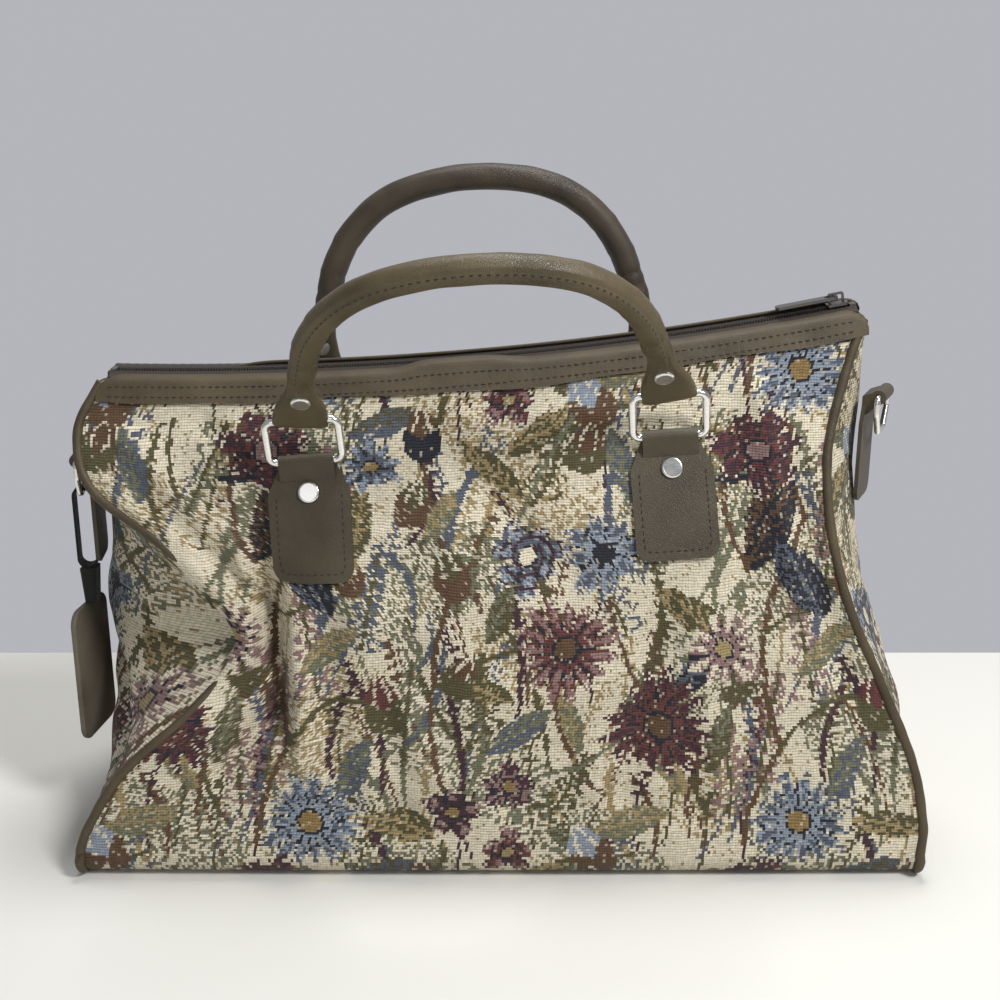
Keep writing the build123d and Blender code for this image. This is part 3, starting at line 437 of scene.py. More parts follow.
def tapestry_print(u, v):
    """Thread colour at places u, v on the cloth in millimetres, one colour to a weave cell."""
    u, v = ((np.floor(place / weave_cell) + 0.5) * weave_cell for place in (u, v))
    chance = np.random.default_rng(11).random((len(u), 3))
    colour = np.tile(np.array(cream), (len(u), 1))
    heather = np.sin(u / 31 + 1.7 * np.sin(v / 43)) * np.sin(v / 27 + 1.3 * np.sin(u / 37))
    colour[(heather > 0.35) & (chance[:, 0] < 0.45)] = sage
    colour[(heather < -0.45) & (chance[:, 0] < 0.4)] = straw
    colour[chance[:, 1] < 0.05] = straw

    def local(x, y, angle):
        du, dv = nearest(u, x, tile_width), nearest(v, y, tile_height)
        c, s = cos(radians(angle)), sin(radians(angle))
        return du * c + dv * s, dv * c - du * s

    for x, y, length, angle, bow, tint in grasses(blade_count):
        a, b = local(x, y, angle)
        share = np.clip(a / length, 0, 1)
        aside = np.abs(b - bow * np.sin(pi * share))
        blade = aside < 0.75 + 1.1 * np.sin(pi * share) * (abs(bow) > 5)
        ears = (share > 0.62) & (np.abs(aside - 2.4) < 1.1) & (a % 5.8 < 2.9)
        colour[(a > 0) & (a < length) & (blade | (ears & (chance[:, 2] < 0.7)))] = tint
    for x, y, length, angle, tint in sprigs:
        a, b = local(x, y, angle)
        spread = 9 * (1.15 - a / length) * np.abs(np.sin(a / 2.9))
        within = (a > 0) & (a < length)
        colour[within & (np.abs(np.abs(b) - spread) < 2.1) & (chance[:, 2] < 0.75)] = tint
        colour[within & (np.abs(b) < 1.0)] = olive
    for route, width, tint in stems:
        for (ax, ay), (bx, by) in zip(route, route[1:]):
            angle = np.degrees(atan2(by - ay, bx - ax))
            a, b = local(ax, ay, angle)
            length = hypot(bx - ax, by - ay)
            bow = 3.0 * np.sin(pi * np.clip(a / length, 0, 1))
            colour[(a > -1) & (a < length + 1) & (np.abs(b - bow) < width)] = tint
    for x, y, length, width, angle, dark, light in leaves:
        a, b = local(x, y, angle)
        reach = width / 2 * np.clip(1 - (2 * a / length) ** 2, 0, 1) ** 0.8
        inside = np.abs(b - 2 * np.sin(a / length * pi)) < reach
        veins = (np.abs(b) < 0.8) | (((a - np.abs(b) * 1.2) % 6.5) < 1.6)
        colour[inside] = dark
        colour[inside & veins & (np.abs(b) < reach * 0.8)] = light
        colour[inside & (b > reach * 0.45) & (chance[:, 0] < 0.5)] = light
    for x, y, length, width, angle, tint, sepal in buds:
        a, b = local(x, y, angle)
        half = length / 2
        reach = width / 2 * np.clip(1 - (a / half) ** 2, 0, 1) ** 0.5 * (1.1 - 0.35 * a / half)
        inside = np.abs(b) < reach
        colour[inside] = tint
        colour[inside & (np.abs(np.abs(b) - reach * 0.45) < 0.9) & (chance[:, 1] < 0.8)] = cream
        colour[inside & (a < -half * 0.25 + np.abs(b) * 0.9)] = sepal
    for x, y, radius, petals, tint, light, eye in flowers:
        a, b = local(x, y, flower_turn)
        away, angle = np.hypot(a, b), np.arctan2(b, a)
        lobe = np.abs(np.cos(petals * angle / 2))
        length = radius * (0.9 + 0.1 * np.sin(3 * angle + x))
        inside = away < length * (0.45 + 0.55 * lobe**0.6)
        colour[inside] = tint
        colour[inside & (lobe > 0.8) & (away > radius * 0.4) & (chance[:, 1] < 0.85)] = light
        colour[inside & (lobe < 0.42) & (away > radius * 0.28) & (chance[:, 2] < 0.8)] = ink
        colour[inside & (np.sin(away * 1.15 + 2 * angle) > 0.6) & (petals < 8)] = plum
        colour[inside & (away > length * 0.8) & (chance[:, 0] < 0.35)] = cream
        colour[away < radius * 0.25] = ink
        colour[away < radius * 0.19] = eye
    uneven = 0.86 + 0.28 * np.random.default_rng(5).random(len(u))
    dots = np.random.default_rng(3).random(len(u)) < 0.05
    colour[dots] = 0.5 * colour[dots] + 0.5 * np.array(cream)
    return colour * uneven[:, None]


tapestry = tapestry_material()
band_leather = leather("band_leatherette", (0.055, 0.040, 0.021), (0.098, 0.073, 0.040), 0.50)
patch_leather = leather("patch_leatherette", (0.052, 0.041, 0.025), (0.086, 0.068, 0.043), 0.42)
# Both handles are one leather in two copies: the front copy is lighter, painted light on a handle whose top
# faces the lamps, and the back copy darker, painted shade on a handle seen from its shaded inside.
front_handle_painted_light_leather = leather("front_handle_painted_light_leatherette", (0.074, 0.056, 0.029), (0.135, 0.104, 0.056), 0.38)
back_handle_painted_shade_leather = leather("back_handle_painted_shade_leatherette", (0.038, 0.029, 0.018),
                              (0.070, 0.053, 0.033), 0.42)
tag_leather = leather("tag_leatherette", (0.10, 0.085, 0.062), (0.17, 0.145, 0.11), 0.5)
nickel = metal("nickel", (0.88, 0.87, 0.84), 0.2)
dark_metal = metal("dark_metal", (0.20, 0.19, 0.18), 0.34)
thread = woven("thread", (0.018, 0.014, 0.009), (0.055, 0.043, 0.027), 0.5)
tape_cloth = woven("tape_cloth", (0.018, 0.014, 0.011), (0.055, 0.042, 0.032), 0.9)
coil = woven("coil", (0.020, 0.014, 0.010), (0.075, 0.055, 0.040), 0.35,
             rough=0.45, sheen=0.0, fuzz=0.25)
strap_cloth = woven("strap_cloth", (0.006, 0.006, 0.006), (0.035, 0.035, 0.034), 0.8)
board_card = woven("board_card", (0.12, 0.10, 0.08), (0.25, 0.21, 0.17), 2.0)


# Folds of the cloth that the photograph shows, as movement out of the face in millimetres
def stroke(x, z, start, end, width, depth):
    """A fold along a line: a rounded ridge, or a valley for a negative depth."""
    run_x, run_z = end[0] - start[0], end[1] - start[1]
    length = hypot(run_x, run_z)
    along = ((x - start[0]) * run_x + (z - start[1]) * run_z) / length
    aside = ((z - start[1]) * run_x - (x - start[0]) * run_z) / length
    ends = np.clip(np.minimum(along + width, length + width - along) / (2 * width), 0, 1)
    return depth * np.exp(-((aside / width) ** 2)) * ends * ends * (3 - 2 * ends)


front_folds = [((-122, 196), (-112, 70), 6, -7.0), ((-108, 176), (-100, 60), 6, 5.0),
               ((-136, 176), (-122, 128), 5, 4.5), ((-116, 104), (-152, 74), 6, 5.0),
               ((-104, 96), (-146, 50), 6, -5.0), ((-92, 150), (-76, 30), 8, -3.2),
               ((-75, 150), (-30, 50), 9, 2.6), ((-60, 130), (-50, 30), 8, -2.2),
               ((85, 150), (60, 40), 9, -3.0), ((96, 150), (112, 40), 9, 2.6),
               ((-50, 236), (40, 150), 11, -2.6), ((40, 220), (-30, 120), 12, 2.4),
               ((130, 250), (150, 140), 7, 3.2), ((144, 210), (178, 90), 8, -3.2),
               ((118, 230), (122, 150), 7, -2.4), ((-196, 222), (-136, 166), 7, 2.4),
               ((-160, 236), (-120, 190), 6, -2.6), ((-170, 42), (-40, 34), 8, -2.2),
               ((0, 40), (170, 34), 9, -1.8), ((0, 96), (120, 112), 12, 1.8),
               ((-30, 200), (-10, 60), 10, 1.6)]


def settled(x, z):
    """Share of the relief that is left: none behind the patches, under the band and at the base."""
    share = np.ones_like(x)
    for cx, cz in (ring_left, ring_right):
        share = share * (1 - np.clip(1.6 * hill(x, cx, 26) * hill(z, cz - 24, 44), 0, 1))
    top = np.clip((zip_height(x) - band_drop - z) / 14, 0, 1)
    foot = np.clip((z - base_corner_radius) / 20, 0, 1)
    return share * top * foot


fold_strength = 1.35


def front_relief(x, z):
    """The front's folds and small waves."""
    out = fold_strength * sum(stroke(x, z, *fold) for fold in front_folds)
    out = out + 1.2 * np.sin(x / 13 + 1.5 * np.sin(z / 21)) * np.sin(z / 17 + np.sin(x / 29))
    out = out + 0.5 * np.sin(x / 5.1 + 2 * np.sin(z / 9)) * np.sin(z / 6.3)
    return out * settled(x, z)


def back_relief(x, z):
    """The back's slow waves."""
    out = 1.6 * np.sin(x / 34 + 1.2 * np.sin(z / 40)) * np.sin(z / 38 + 0.7)
    out = out + 0.7 * np.sin(x / 12 + 1.5 * np.sin(z / 19)) * np.sin(z / 15)
    return out * settled(x, z)


cloth_height, cloth_length, hem_width = 272, 424, 10
top_gap_front, top_gap_back = 2.4, 0.65


def face_cloth(name, side, left, right, relief, cell):
    """One face from base corner to mouth, as rows between its two seams."""
    rows, columns = int(cloth_height / cell), int(cloth_length / cell)
    top_gap = top_gap_front if side < 0 else top_gap_back
    share = np.linspace(0, 1, columns)
    level = np.linspace(0, 1, rows) ** 0.98
    points = np.zeros((rows, columns, 3))
    top = np.array([left[0][1], right[0][1]], dtype=float)
    from_seam = share * columns * cell
    for i, rise in enumerate(level):
        ends_z = base_corner_radius + (top - base_corner_radius) * rise
        ends_x = (seam_x(left, -base_half_length, ends_z[:1])[0],
                  seam_x(right, base_half_length, ends_z[1:])[0])
        x = ends_x[0] + (ends_x[1] - ends_x[0]) * share
        straight = ends_z[0] + (ends_z[1] - ends_z[0]) * share
        curved = base_corner_radius + (zip_height(x) - top_gap - base_corner_radius) * rise
        z = straight + (curved - straight) * np.sin(pi * share) ** 0.25
        y = face_y(side, x, z)
        hem = np.clip(np.minimum(share, 1 - share) * columns * cell / hem_width, 0, 1)
        y = y + side * relief(x, z) * hem - side * (1 - hem) ** 2
        if side < 0:
            # the cloth laps over the piping at the deep fold on the left
            x = x - 9 * hill(z, 128, 30) * np.exp(-from_seam / 9)
            y = y - 9 * hill(from_seam, 5, 7) * hill(z, 126, 32)
            y = y - 3 * hill(from_seam, 14, 8) * hill(z, 160, 40)
            y = y + 7 * hill(from_seam, 22, 6) * hill(z, 122, 34)
        points[i] = np.stack([x, y, z], axis=1)
    middle = (points[:-1, :-1] + points[1:, 1:]) / 2
    centre = points[:, columns // 2]
    climb = np.concatenate([[0], np.cumsum(np.linalg.norm(np.diff(centre[:, 1:], axis=0), axis=1))])
    run = climb[:, None] + (points[..., 2] - centre[:, 2][:, None])
    uv = np.stack([points[..., 0], run], axis=2) * MM
    mid_run = (run[:-1, :-1] + run[1:, 1:]) / 2
    colour = tapestry_print(-side * middle[..., 0].ravel(), mid_run.ravel())
    return grid_object(name, points, tapestry, flip=side > 0, uv=uv, colour=colour)


front_cell, back_cell = 1.45, 1.9
front_cloth = face_cloth("front_cloth", -1, front_left_seam, front_right_seam, front_relief, front_cell)
back_cloth = face_cloth("back_cloth", 1, back_left_seam, back_right_seam, back_relief, back_cell)


base_lift = 0.3


def base_cloth():
    """The base with its two rounded corners, between the feet of the faces."""
    corner = base_corner_radius
    x = np.linspace(-base_half_length, base_half_length, 300)
    foot_y = face_y(-1, x, np.full_like(x, corner))
    rows = [np.stack([x, foot_y + corner * (1 - cos(a)),
                      np.full_like(x, corner * (1 - sin(a)) + base_lift)], axis=1)
            for a in np.linspace(0, pi / 2, 9)]
    inner = rows[-1][:, 1]
    for share in np.linspace(0, 1, 70)[1:-1]:
        y = inner * (1 - 2 * share)
        z = base_lift + 0.25 * (1 - np.cos(y / 7)) * np.sin(x / 25) ** 2
        rows.append(np.stack([x, y, z], axis=1))
    rows += [row * np.array([1, -1, 1]) for row in rows[8::-1]]
    points = np.array(rows)
    run = np.concatenate([[0], np.cumsum(np.linalg.norm(np.diff(points[:, 0, 1:], axis=0), axis=1))])
    uv = np.stack([points[..., 0], np.broadcast_to(-run[:, None], points.shape[:2])], axis=2) * MM
    middle = (points[:-1, :-1] + points[1:, 1:]) / 2
    mid_run = -(run[:-1] + run[1:]) / 2
    colour = tapestry_print(middle[..., 0].ravel(), np.repeat(mid_run, len(x) - 1))
    return grid_object("base_cloth", points, tapestry, flip=True, uv=uv, colour=colour)


base_piece = base_cloth()


def line_at(line, z):
    """x and y of a line of points at height z."""
    x, y, heights = np.array(line[::-1]).T
    return np.interp(z, heights, x), np.interp(z, heights, y)


end_rows, end_columns, end_foot, end_top_gap, end_inset = 170, 100, 5.0, 2.0, 0.5
left_end_folds = [((-70, 70), (0, 150), 8, 6.0), ((-60, 50), (20, 100), 8, -8.0),
                  ((-60, 130), (-10, 170), 6, -6.0)]
right_end_folds = [((-30, 190), (10, 60), 9, -2.0)]


def end_cloth(name, front, back, foot_x, line, hand):
    """An end panel between its front and back seams, bowed through the end's middle line."""
    points = np.zeros((end_rows, end_columns, 3))
    t = np.linspace(0, 1, end_columns)
    folds = left_end_folds if hand < 0 else right_end_folds
    for i, z in enumerate(np.linspace(end_foot, front[0][1] - end_top_gap, end_rows)):
        level = max(z, base_corner_radius)
        fx, bx = seam_x(front, foot_x, [level])[0], seam_x(back, foot_x, [level])[0]
        fy = face_y(-1, np.array([fx]), np.array([level]))[0] + 1
        by = face_y(1, np.array([bx]), np.array([level]))[0] - 1
        mx, my = line_at(line, z)
        share = (my - fy) / (by - fy)
        curve_x = (fx * (t - share) * (t - 1) / share + mx * t * (t - 1) / (share * (share - 1))
                   + bx * t * (t - share) / (1 - share))
        y = fy + (by - fy) * t
        waves = 1.3 * np.sin(y / 13 + z / 23) * np.sin(z / 19 + y / 31)
        waves = waves + 0.5 * np.sin(y / 6 + 2 * np.sin(z / 11))
        waves = waves + sum(stroke(y, z, *fold) for fold in folds)
        if hand < 0:
            # the hollow beside the deep fold
            waves = waves - 20 * hill(z, 124, 30) * hill(y, -52, 20)
        calm = np.clip(4.5 * np.minimum(t, 1 - t), 0, 1) * (1 - hill(y, -8, 20) * hill(z, 200, 60))
        x = curve_x + hand * (waves * calm - end_inset)
        points[i] = np.stack([x, y, np.full(end_columns, z)], axis=1)
    middle = (points[:-1, :-1] + points[1:, 1:]) / 2
    uv = points[..., 1:] * MM
    colour = tapestry_print(60 + hand * middle[..., 1].ravel() * 1.05, middle[..., 2].ravel() + 30)
    return grid_object(name, points, tapestry, flip=hand < 0, uv=uv, colour=colour)


left_end = end_cloth("left_end_cloth", front_left_seam, back_left_seam, -base_half_length,
                     left_end_line, -1)
right_end = end_cloth("right_end_cloth", front_right_seam, back_right_seam, base_half_length,
                      right_end_line, 1)
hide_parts("body_wrap")
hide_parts("end_panel_left")
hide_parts("end_panel_right")
for piece in (front_cloth, back_cloth, base_piece, left_end, right_end):
    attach(piece, "bag")


# Piping
seam_depth, cord_lift, seam_points = 1.0, 0.125, 220


def seam_line(side, points, foot_x):
    """A seam from the mouth down to the base corner."""
    z = np.linspace(points[0][1], base_corner_radius, seam_points)
    x = seam_x(points, foot_x, z)
    return np.stack([x, face_y(side, x, z) - side * seam_depth, z], axis=1)


def piping(name, front, back, foot_x):
    """A cord down the front seam, along the foot of the end and up the back seam."""
    foot_y, run_z = base_half_depth - seam_depth, piping_radius + cord_lift
    turn = base_corner_radius - run_z
    bend = [(foot_x, -foot_y + turn * (1 - cos(a)), run_z + turn * (1 - sin(a)))
            for a in np.linspace(0.15, pi / 2, 8)]
    flat_end = foot_y - turn - 3
    flat = [(foot_x, y, run_z) for y in np.linspace(-flat_end, flat_end, 60)]
    line = np.concatenate([seam_line(-1, front, foot_x)[:-1], bend, flat,
                           [(x, -y, z) for x, y, z in bend[::-1]], seam_line(1, back, foot_x)[::-1][1:]])
    place = np.arange(len(line))
    kink = 1 + 0.035 * np.sin(place / 3.1) * np.sin(place / 11) + 0.03 * np.sin(place / 1.7)
    return tube(name, line, piping_radius * kink, band_leather, 14)


piping_left = piping("piping_left_cord", front_left_seam, back_left_seam, -base_half_length)
piping_right = piping("piping_right_cord", front_right_seam, back_right_seam, base_half_length)
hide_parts("piping_left")
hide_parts("piping_right")


# Bands over the mouth, with their two rows of stitches. The front lip covers the coil only at the
# middle, and the back lip lies under it at the left.
lip_corner_reach, lip_corner_fall, lip_roll, band_clearance = 13.0, 7.0, 1.9, 0.25
front_lip, back_lip, lip_change = -2.6, 1.6, 3.2
front_rise_x, front_fall_x, back_fall_x = -46, 4, -134


def band(name, side, left, right, node_name):
    """A folded band over the edge of a face, from its lower edge over the lip to its inside."""
    x = np.linspace(left[0][0] - 2.0, right[0][0] + 2.0, 330)
    top = zip_height(x)
    from_end = np.clip(np.minimum(x - x[0], x[-1] - x) / lip_corner_reach, 0, 1)
    corner = lip_corner_fall * (1 - np.sqrt(1 - (1 - from_end) ** 2))
    if side < 0:
        raised = 1 / (1 + np.exp(-(x - front_rise_x) / 3)) / (1 + np.exp((x - front_fall_x) / 5))
        lip = front_lip + lip_change * raised - corner
    else:
        lip = back_lip - lip_change / (1 + np.exp((x - back_fall_x) / 5)) - corner
    wave = 0.5 * np.sin(x / 9) * np.sin(x / 23 + 1) + 0.3 * np.sin(x / 3.7)
    low_edge = band_drop + 0.8 * np.sin(x / 27 + 1) + 0.5 * np.sin(x / 11)
    rows = []
    for drop in np.linspace(1, 0, 9):
        z = top + lip - (low_edge + lip) * drop
        y = face_y(side, x, z) + side * (band_clearance + band_thickness + wave * np.sin(pi * drop) * 0.5)
        rows.append(np.stack([x, y, z], axis=1))
    start = rows[-1][:, 1]
    for a in np.linspace(0, 1, 7)[1:]:
        y = start + (side * band_lip_y - start) * a
        z = top + lip + lip_roll * np.sin(pi * min(a * 1.15, 1) * 0.55) ** 0.7
        rows.append(np.stack([x, y, z], axis=1))
    rows.append(np.stack([x, np.full_like(x, side * (band_lip_y + 0.3)), top + lip + 0.4], axis=1))
    rows.append(np.stack([x, start - side * band_thickness, top + lip + 0.3], axis=1))
    under = [row - np.array([0, side * band_thickness, 0]) for row in rows[1:8:3]][::-1]
    points = np.array(rows + under)
    piece = grid_object(name, points, band_leather, flip=side > 0)
    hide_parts(node_name)
    made = [piece]
    for tag, drop in (("upper", 4.4 - 0.45 * lip), ("lower", 10.4)):
        z = top - drop
        y = face_y(side, x, z) + side * (band_clearance + band_thickness + 0.1)
        path = np.stack([x, y, z], axis=1)[4:-4]
        out = np.tile([0, side * 0.9, 0.4], (len(path), 1))
        made.append(stitches(f"{name}_stitches_{tag}", path, out, *band_stitch))
    return made


bag_pieces = band("front_band", -1, front_left_seam, front_right_seam, "band_front")
bag_pieces += band("back_band", 1, back_left_seam, back_right_seam, "band_back")


# Zip: tape and coil
# Across a tape: y, height over the middle of its thickness, and share of the fall of its outer edge
tape_section = ((tape_inner_y, 0.35, 0), (5.2, 0.42, 0.5), (7.4, 0.38, 0.9), (tape_outer_y, 0.35, 1),
                (tape_outer_y, -0.35, 1), (tape_inner_y, -0.35, 0), (tape_inner_y, 0.35, 0))
front_tape_fall, back_tape_fall = -2.2, 1.2


def zip_tape(name, side, node_name):
    """A tape beside the chain, its outer edge falling under the band."""
    x = np.linspace(zip_left[0] + zip_inset, zip_right[0] - zip_inset, 300)
    ripple = 0.08 * np.sin(x * 1.3)
    fall = front_tape_fall if side < 0 else back_tape_fall
    rows = [np.stack([x, np.full_like(x, side * y), zip_height(x) + lift + fall * share + ripple], axis=1)
            for y, lift, share in tape_section]
    piece = grid_object(name, np.array(rows), tape_cloth, flip=side < 0)
    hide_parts(node_name)
    return piece


turn_height, turn_half_width, turn_rings, turn_sides = 1.2, 0.52, 7, 6


def zip_coil(name, side, node_name):
    """One side of the chain: rounded turns side by side, set half a pitch from the other side's."""
    first, last = zip_left[0] + zip_inset + stop_length, zip_right[0] - zip_inset - stop_length
    count = int((last - first) / tooth_pitch) - 1
    verts, faces = [], []
    for i in range(count):
        x = first + tooth_pitch * (i + (1.0 if side > 0 else 0.5))
        start = len(verts)
        for t in np.linspace(0, 1, turn_rings):
            y = side * (chain_inner_y + (chain_outer_y - chain_inner_y) * t)
            height = turn_height * (1 - 0.45 * (2 * t - 1) ** 4)
            for k in range(turn_sides):
                a = k * 2 * pi / turn_sides
                verts.append((x + turn_half_width * cos(a), y, zip_height(x) + height * sin(a)))
        turn = grid_faces(turn_rings, turn_sides, closed=True).tolist()
        turn += tube_ends(turn_rings, turn_sides)
        faces += [[start + k for k in face][::1 if side > 0 else -1] for face in turn]
    piece = mesh_object(name, verts, faces, coil)
    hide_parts(node_name)
    return piece


for side, end in ((-1, "front"), (1, "back")):
    tape = zip_tape(f"{end}_tape_cloth", side, f"zip_tape_{end}")
    chain = zip_coil(f"{end}_coil", side, f"zip_chain_{end}")
    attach(tape, "bag")
    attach(chain, "bag")


# Stitches round the patches
stitch_inset, stitch_corner = 4.2, 4.0


def patch_stitches(name, side, ring):
    """Stitches down one side of a patch, along its foot and up the other side."""
    cx, cz = ring
    half, low, corner = patch_half - stitch_inset, -patch_length + stitch_inset, stitch_corner
    side_line = [(-half, -patch_top - d) for d in np.linspace(0, -low - patch_top - corner, 24)]
    side_line += [(-half + corner * (1 - cos(a)), low + corner * (1 - sin(a)))
                  for a in np.linspace(0, pi / 2, 7)]
    route = side_line + [(a, low) for a in np.linspace(-half + corner, half - corner, 16)]
    route += [(-a, b) for a, b in side_line[::-1]]
    route = np.array(route)
    x = cx + route[:, 0] * cos(bar_turn) - route[:, 1] * sin(bar_turn)
    z = cz + route[:, 0] * sin(bar_turn) + route[:, 1] * cos(bar_turn)
    y = face_y(side, x, z) + side * patch_stand
    out = np.tile([0, side * 0.97, 0.25], (len(x), 1))
    return stitches(name, np.stack([x, y, z], axis=1), out, *patch_stitch)


for side, end in ((-1, "front"), (1, "back")):
    for place, ring in (("left", ring_left), ("right", ring_right)):
        bag_pieces.append(patch_stitches(f"{end}_patch_stitches_{place}", side, ring))
bag_pieces += [piping_left, piping_right]
for piece in bag_pieces:
    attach(piece, "bag")


# Rolled handles
joint_at = {j["name"]: np.array(j["pos_m"]) / MM for j in frame["record"]["behaviour"]["joints"]}
bar = np.array([cos(bar_turn), 0, sin(bar_turn)])
bar_up = np.array([-sin(bar_turn), 0, cos(bar_turn)])
half_bars = hypot(ring_right[0] - ring_left[0], ring_right[1] - ring_left[1]) / 2
handle_shoulders = [(56.0, 0.95), (27.5, 0.78), (11.0, 0.49)]
foot_below, handle_sides = 3.7, 44
# Distance from the end of a handle, half its width, half its thickness and how square its section is
handle_section = np.array([
    (0, 13.2, 0.4, 3.5), (0.7, 13.9, 2.0, 3.5), (2, 14.0, 3.2, 3.5), (3.7, 14.0, 3.75, 3.5),
    (9, 13.6, 3.75, 3.5), (15.7, 12.2, 3.75, 3.5), (24, 8.8, 4.1, 3.2), (31, 6.8, 5.2, 2.6),
    (36, 6.2, 6.3, 2.2), (42, 6.6, 6.9, 2.0), (50, handle_radius, handle_radius, 2.0)])
front_seam_angle, back_seam_angle = 4.05, 5.6
neck_creases, neck_place, neck_width = (4.1, 5.2), 27, 11


def handle_route():
    """Middle line of a handle in its own plane, from one ring bar to the other."""
    half = half_bars
    points = [(0, handle_rise)] + [(half - x, handle_rise * share) for x, share in handle_shoulders]
    points.append((half - leg_inset, leg_rise))
    heading, right = 0.0, []
    for (u, v), (nu, nv) in zip(points, points[1:]):
        chord, way = hypot(nu - u, nv - v), atan2(nv - v, nu - u)
        bend = way - heading
        for t in np.linspace(0, 1, 24, endpoint=False):
            if abs(bend) < 1e-4:
                right.append((u + (nu - u) * t, v + (nv - v) * t))
                continue
            radius = chord / 2 / sin(bend)
            cu, cv = u - radius * sin(heading), v + radius * cos(heading)
            a = heading + 2 * bend * t
            right.append((cu + radius * sin(a), cv - radius * cos(a)))
        heading += 2 * bend
    leg = [(half - leg_inset * v / leg_rise, v) for v in np.linspace(leg_rise, -foot_below, 60)]
    right = right + leg
    return np.array([(-u, v) for u, v in right[::-1][:-1]] + right)


def handle(name, side, lean, material, node_name):
    """A rolled handle on its hinge: flat feet, pinched necks, a creased tube and its sewn seam."""
    hinge = joint_at[f"{node_name}_swing"]
    up = bar_up * cos(radians(lean)) + np.array([0, side, 0]) * sin(radians(lean))
    out = np.cross(up, bar) * (1 if side < 0 else -1)
    route = handle_route()
    run = np.gradient(route, axis=0)
    run /= np.linalg.norm(run, axis=1)[:, None]
    across = np.stack([run[:, 1], -run[:, 0]], axis=1)
    steps = np.linalg.norm(np.diff(route, axis=0), axis=1)
    length = np.concatenate([[0], np.cumsum(steps)])
    near = np.minimum(length, length[-1] - length)
    width, thick, power = (np.interp(near, handle_section[:, 0], handle_section[:, k]) for k in (1, 2, 3))
    angle = np.arange(handle_sides) * 2 * pi / handle_sides
    c, s = np.cos(angle)[None, :], np.sin(angle)[None, :]
    shape = (np.abs(c) ** power[:, None] + np.abs(s) ** power[:, None]) ** (-1 / power[:, None])
    tube_share = np.clip((near - 30) / 14, 0, 1)[:, None]
    ell, phi = length[:, None], angle[None, :]
    seam = front_seam_angle if side < 0 else back_seam_angle
    turned = np.abs((phi - seam + pi) % (2 * pi) - pi)
    wrinkle = 0.018 * np.sin(ell / 3.1 + 2.2 * np.sin(phi + ell / 41))
    wrinkle = wrinkle * (0.5 + 0.5 * np.sin(ell / 17 + phi))
    wrinkle = wrinkle + 0.022 * np.sin(ell / 8.5 + 3 * phi) * np.sin(phi * 2 + ell / 23)
    fold = 0.07 * hill(near[:, None], 47, 3.5) * np.cos(phi + 0.6) - 0.07 * hill(near[:, None], 54, 2.2)
    fold = fold - 0.05 * hill(near[:, None], 66, 1.8) * np.cos(phi - 0.4)
    fold = fold - 0.05 * hill(near[:, None], 84, 2.4) * np.cos(phi)
    lapped = np.clip((phi - seam) / 0.12, 0, 1) * np.clip((seam + 2.2 - phi) / 1.4, 0, 1)
    groove = 0.04 * hill(turned, 0.24, 0.13) - 0.09 * hill(turned, 0, 0.10) - 0.05 * lapped
    shape = shape * (1 + tube_share * (wrinkle + fold + groove))
    neck = hill(near[:, None], neck_place, neck_width)
    for crease in neck_creases:
        shape = shape * (1 - 0.16 * neck * hill(phi, crease, 0.2))
    ring_u = width[:, None] * shape * c
    ring_n = thick[:, None] * shape * s
    plane = route[:, None, :] + ring_u[..., None] * across[:, None, :]
    points = hinge + plane[..., :1] * bar + plane[..., 1:] * up + ring_n[..., None] * out
    faces = grid_faces(len(route), handle_sides, closed=True).tolist()
    faces += tube_ends(len(route), handle_sides)
    piece = mesh_object(name, points.reshape(-1, 3), faces, material)
    fix = piece.modifiers.new("even", "WEIGHTED_NORMAL")
    fix.keep_sharp = False
    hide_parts(node_name)
    at = seam / (2 * pi) * handle_sides + 1.4
    low, high = int(at) % handle_sides, (int(at) + 1) % handle_sides
    line = points[:, low] + (points[:, high] - points[:, low]) * (at - int(at))
    middle = hinge + route[:, :1] * bar + route[:, 1:] * up
    keep = near > 40
    sewn = stitches(f"{name}_stitches", line[keep], (line - middle)[keep], *handle_stitch)
    for part in (piece, sewn):
        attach(part, node_name)


handle("front_rolled_handle", -1, lean_front, front_handle_painted_light_leather, "front_handle")
handle("back_rolled_handle", 1, lean_back, back_handle_painted_shade_leather, "back_handle")

# CAD nodes that keep their shape get their finish, and the patches, tabs, tag and keeper also a softened
# edge
finish = {"rivet": nickel, "ring": nickel, "patch": patch_leather, "tab": patch_leather,
          "stop": dark_metal, "slider": dark_metal, "pull": dark_metal, "strap": strap_cloth,
          "keeper": strap_cloth, "luggage_tag": tag_leather, "board": board_card}
softened, edge_radius, edge_angle = ("patch", "tab", "luggage_tag", "keeper"), 0.5, 50
for name, piece in frame["nodes"].items():
    kinds = [kind for kind in finish if kind in name]
    if not kinds or piece.hide_render:
        continue
    piece.data.materials.clear()
    piece.data.materials.append(finish[kinds[0]])
    if kinds[0] in softened:
        soften = piece.modifiers.new("edge", "BEVEL")
        soften.width, soften.segments, soften.limit_method = edge_radius * MM, 2, "ANGLE"
        soften.angle_limit = radians(edge_angle)


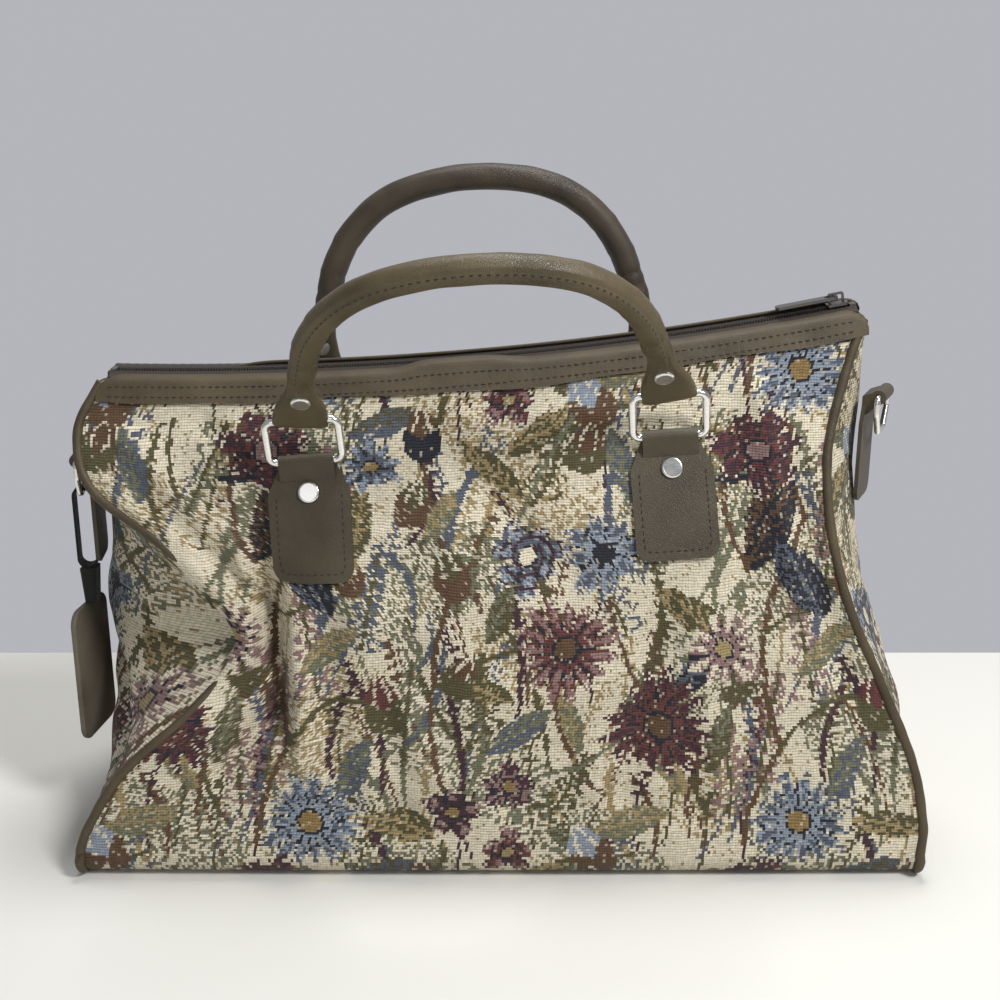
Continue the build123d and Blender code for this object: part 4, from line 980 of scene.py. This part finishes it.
# Surroundings
def stage_plane(name, points, colour, seen=None):
    """A flat surface; seen is its colour for the camera and reflections, whatever the light."""
    material, tree, shader = new_material(name, 0.85)
    shader.inputs["Base Color"].default_value = (*colour, 1)
    if seen:
        glow = node(tree, "ShaderNodeEmission")
        glow.inputs["Color"].default_value = (*seen, 1)
        ray = node(tree, "ShaderNodeLightPath")
        share = sums(tree, "MAXIMUM", ray.outputs["Is Camera Ray"], ray.outputs["Is Glossy Ray"])
        share = sums(tree, "MAXIMUM", share, ray.outputs["Is Transmission Ray"])
        mixed = node(tree, "ShaderNodeMixShader")
        tree.links.new(share, mixed.inputs[0])
        tree.links.new(shader.outputs[0], mixed.inputs[1])
        tree.links.new(glow.outputs[0], mixed.inputs[2])
        tree.links.new(mixed.outputs[0], tree.nodes["Material Output"].inputs["Surface"])
    piece = mesh_object(name, points, [(0, 1, 2, 3)], material, smooth=False)


table_half, table_front, table_back, floor_z, floor_half = 3000, -2500, 200, -2, 4000
wall_half, wall_y, wall_low, wall_high = 5000, 4000, -600, 4000
table_white, wall_grey, wall_seen = (0.74, 0.73, 0.68), (0.50, 0.50, 0.53), (0.46, 0.46, 0.50)
stage_plane("table", [(-table_half, table_front, 0), (table_half, table_front, 0),
                      (table_half, table_back, 0), (-table_half, table_back, 0)], table_white)
stage_plane("floor", [(-floor_half, table_back, floor_z), (floor_half, table_back, floor_z),
                      (floor_half, wall_y, floor_z), (-floor_half, wall_y, floor_z)], wall_grey, wall_seen)
stage_plane("wall", [(-wall_half, wall_y, wall_low), (wall_half, wall_y, wall_low),
                     (wall_half, wall_y, wall_high), (-wall_half, wall_y, wall_high)], wall_grey, wall_seen)

world = bpy.data.worlds.new("room")
bpy.context.scene.world = world
world.use_nodes = True
world.node_tree.nodes["Background"].inputs[0].default_value = (0.93, 0.95, 1.0, 1)
world.node_tree.nodes["Background"].inputs[1].default_value = 0.3


def lamp(name, place, aim, size, watts):
    """A round area lamp at a place in metres, turned towards its aim."""
    data = bpy.data.lights.new(name, "AREA")
    data.shape, data.size, data.energy = "DISK", size, watts
    piece = bpy.data.objects.new(name, data)
    piece.location = place
    way = np.array(aim) - np.array(place)
    piece.rotation_euler = (np.arccos(-way[2] / np.linalg.norm(way)), 0, atan2(-way[0], way[1]))
    bpy.context.scene.collection.objects.link(piece)


lamp("key", (0.75, -0.75, 1.25), (0, 0, 0.12), 0.4, 17)
lamp("fill", (-0.3, -1.4, 0.7), (0, 0, 0.15), 0.8, 1.8)
lamp("top", (0.1, 0.3, 1.5), (0, 0, 0.1), 0.6, 12)

camera_place, camera_down = (0, -0.7136, 0.4024), 17.5
camera_data = bpy.data.cameras.new("camera")
camera_data.lens, camera_data.sensor_width = 50, 36
camera = bpy.data.objects.new("camera", camera_data)
camera.location = camera_place
camera.rotation_euler = (radians(90 - camera_down), 0, 0)
bpy.context.scene.collection.objects.link(camera)
bpy.context.scene.camera = camera
bpy.context.scene.view_settings.view_transform = "Standard"
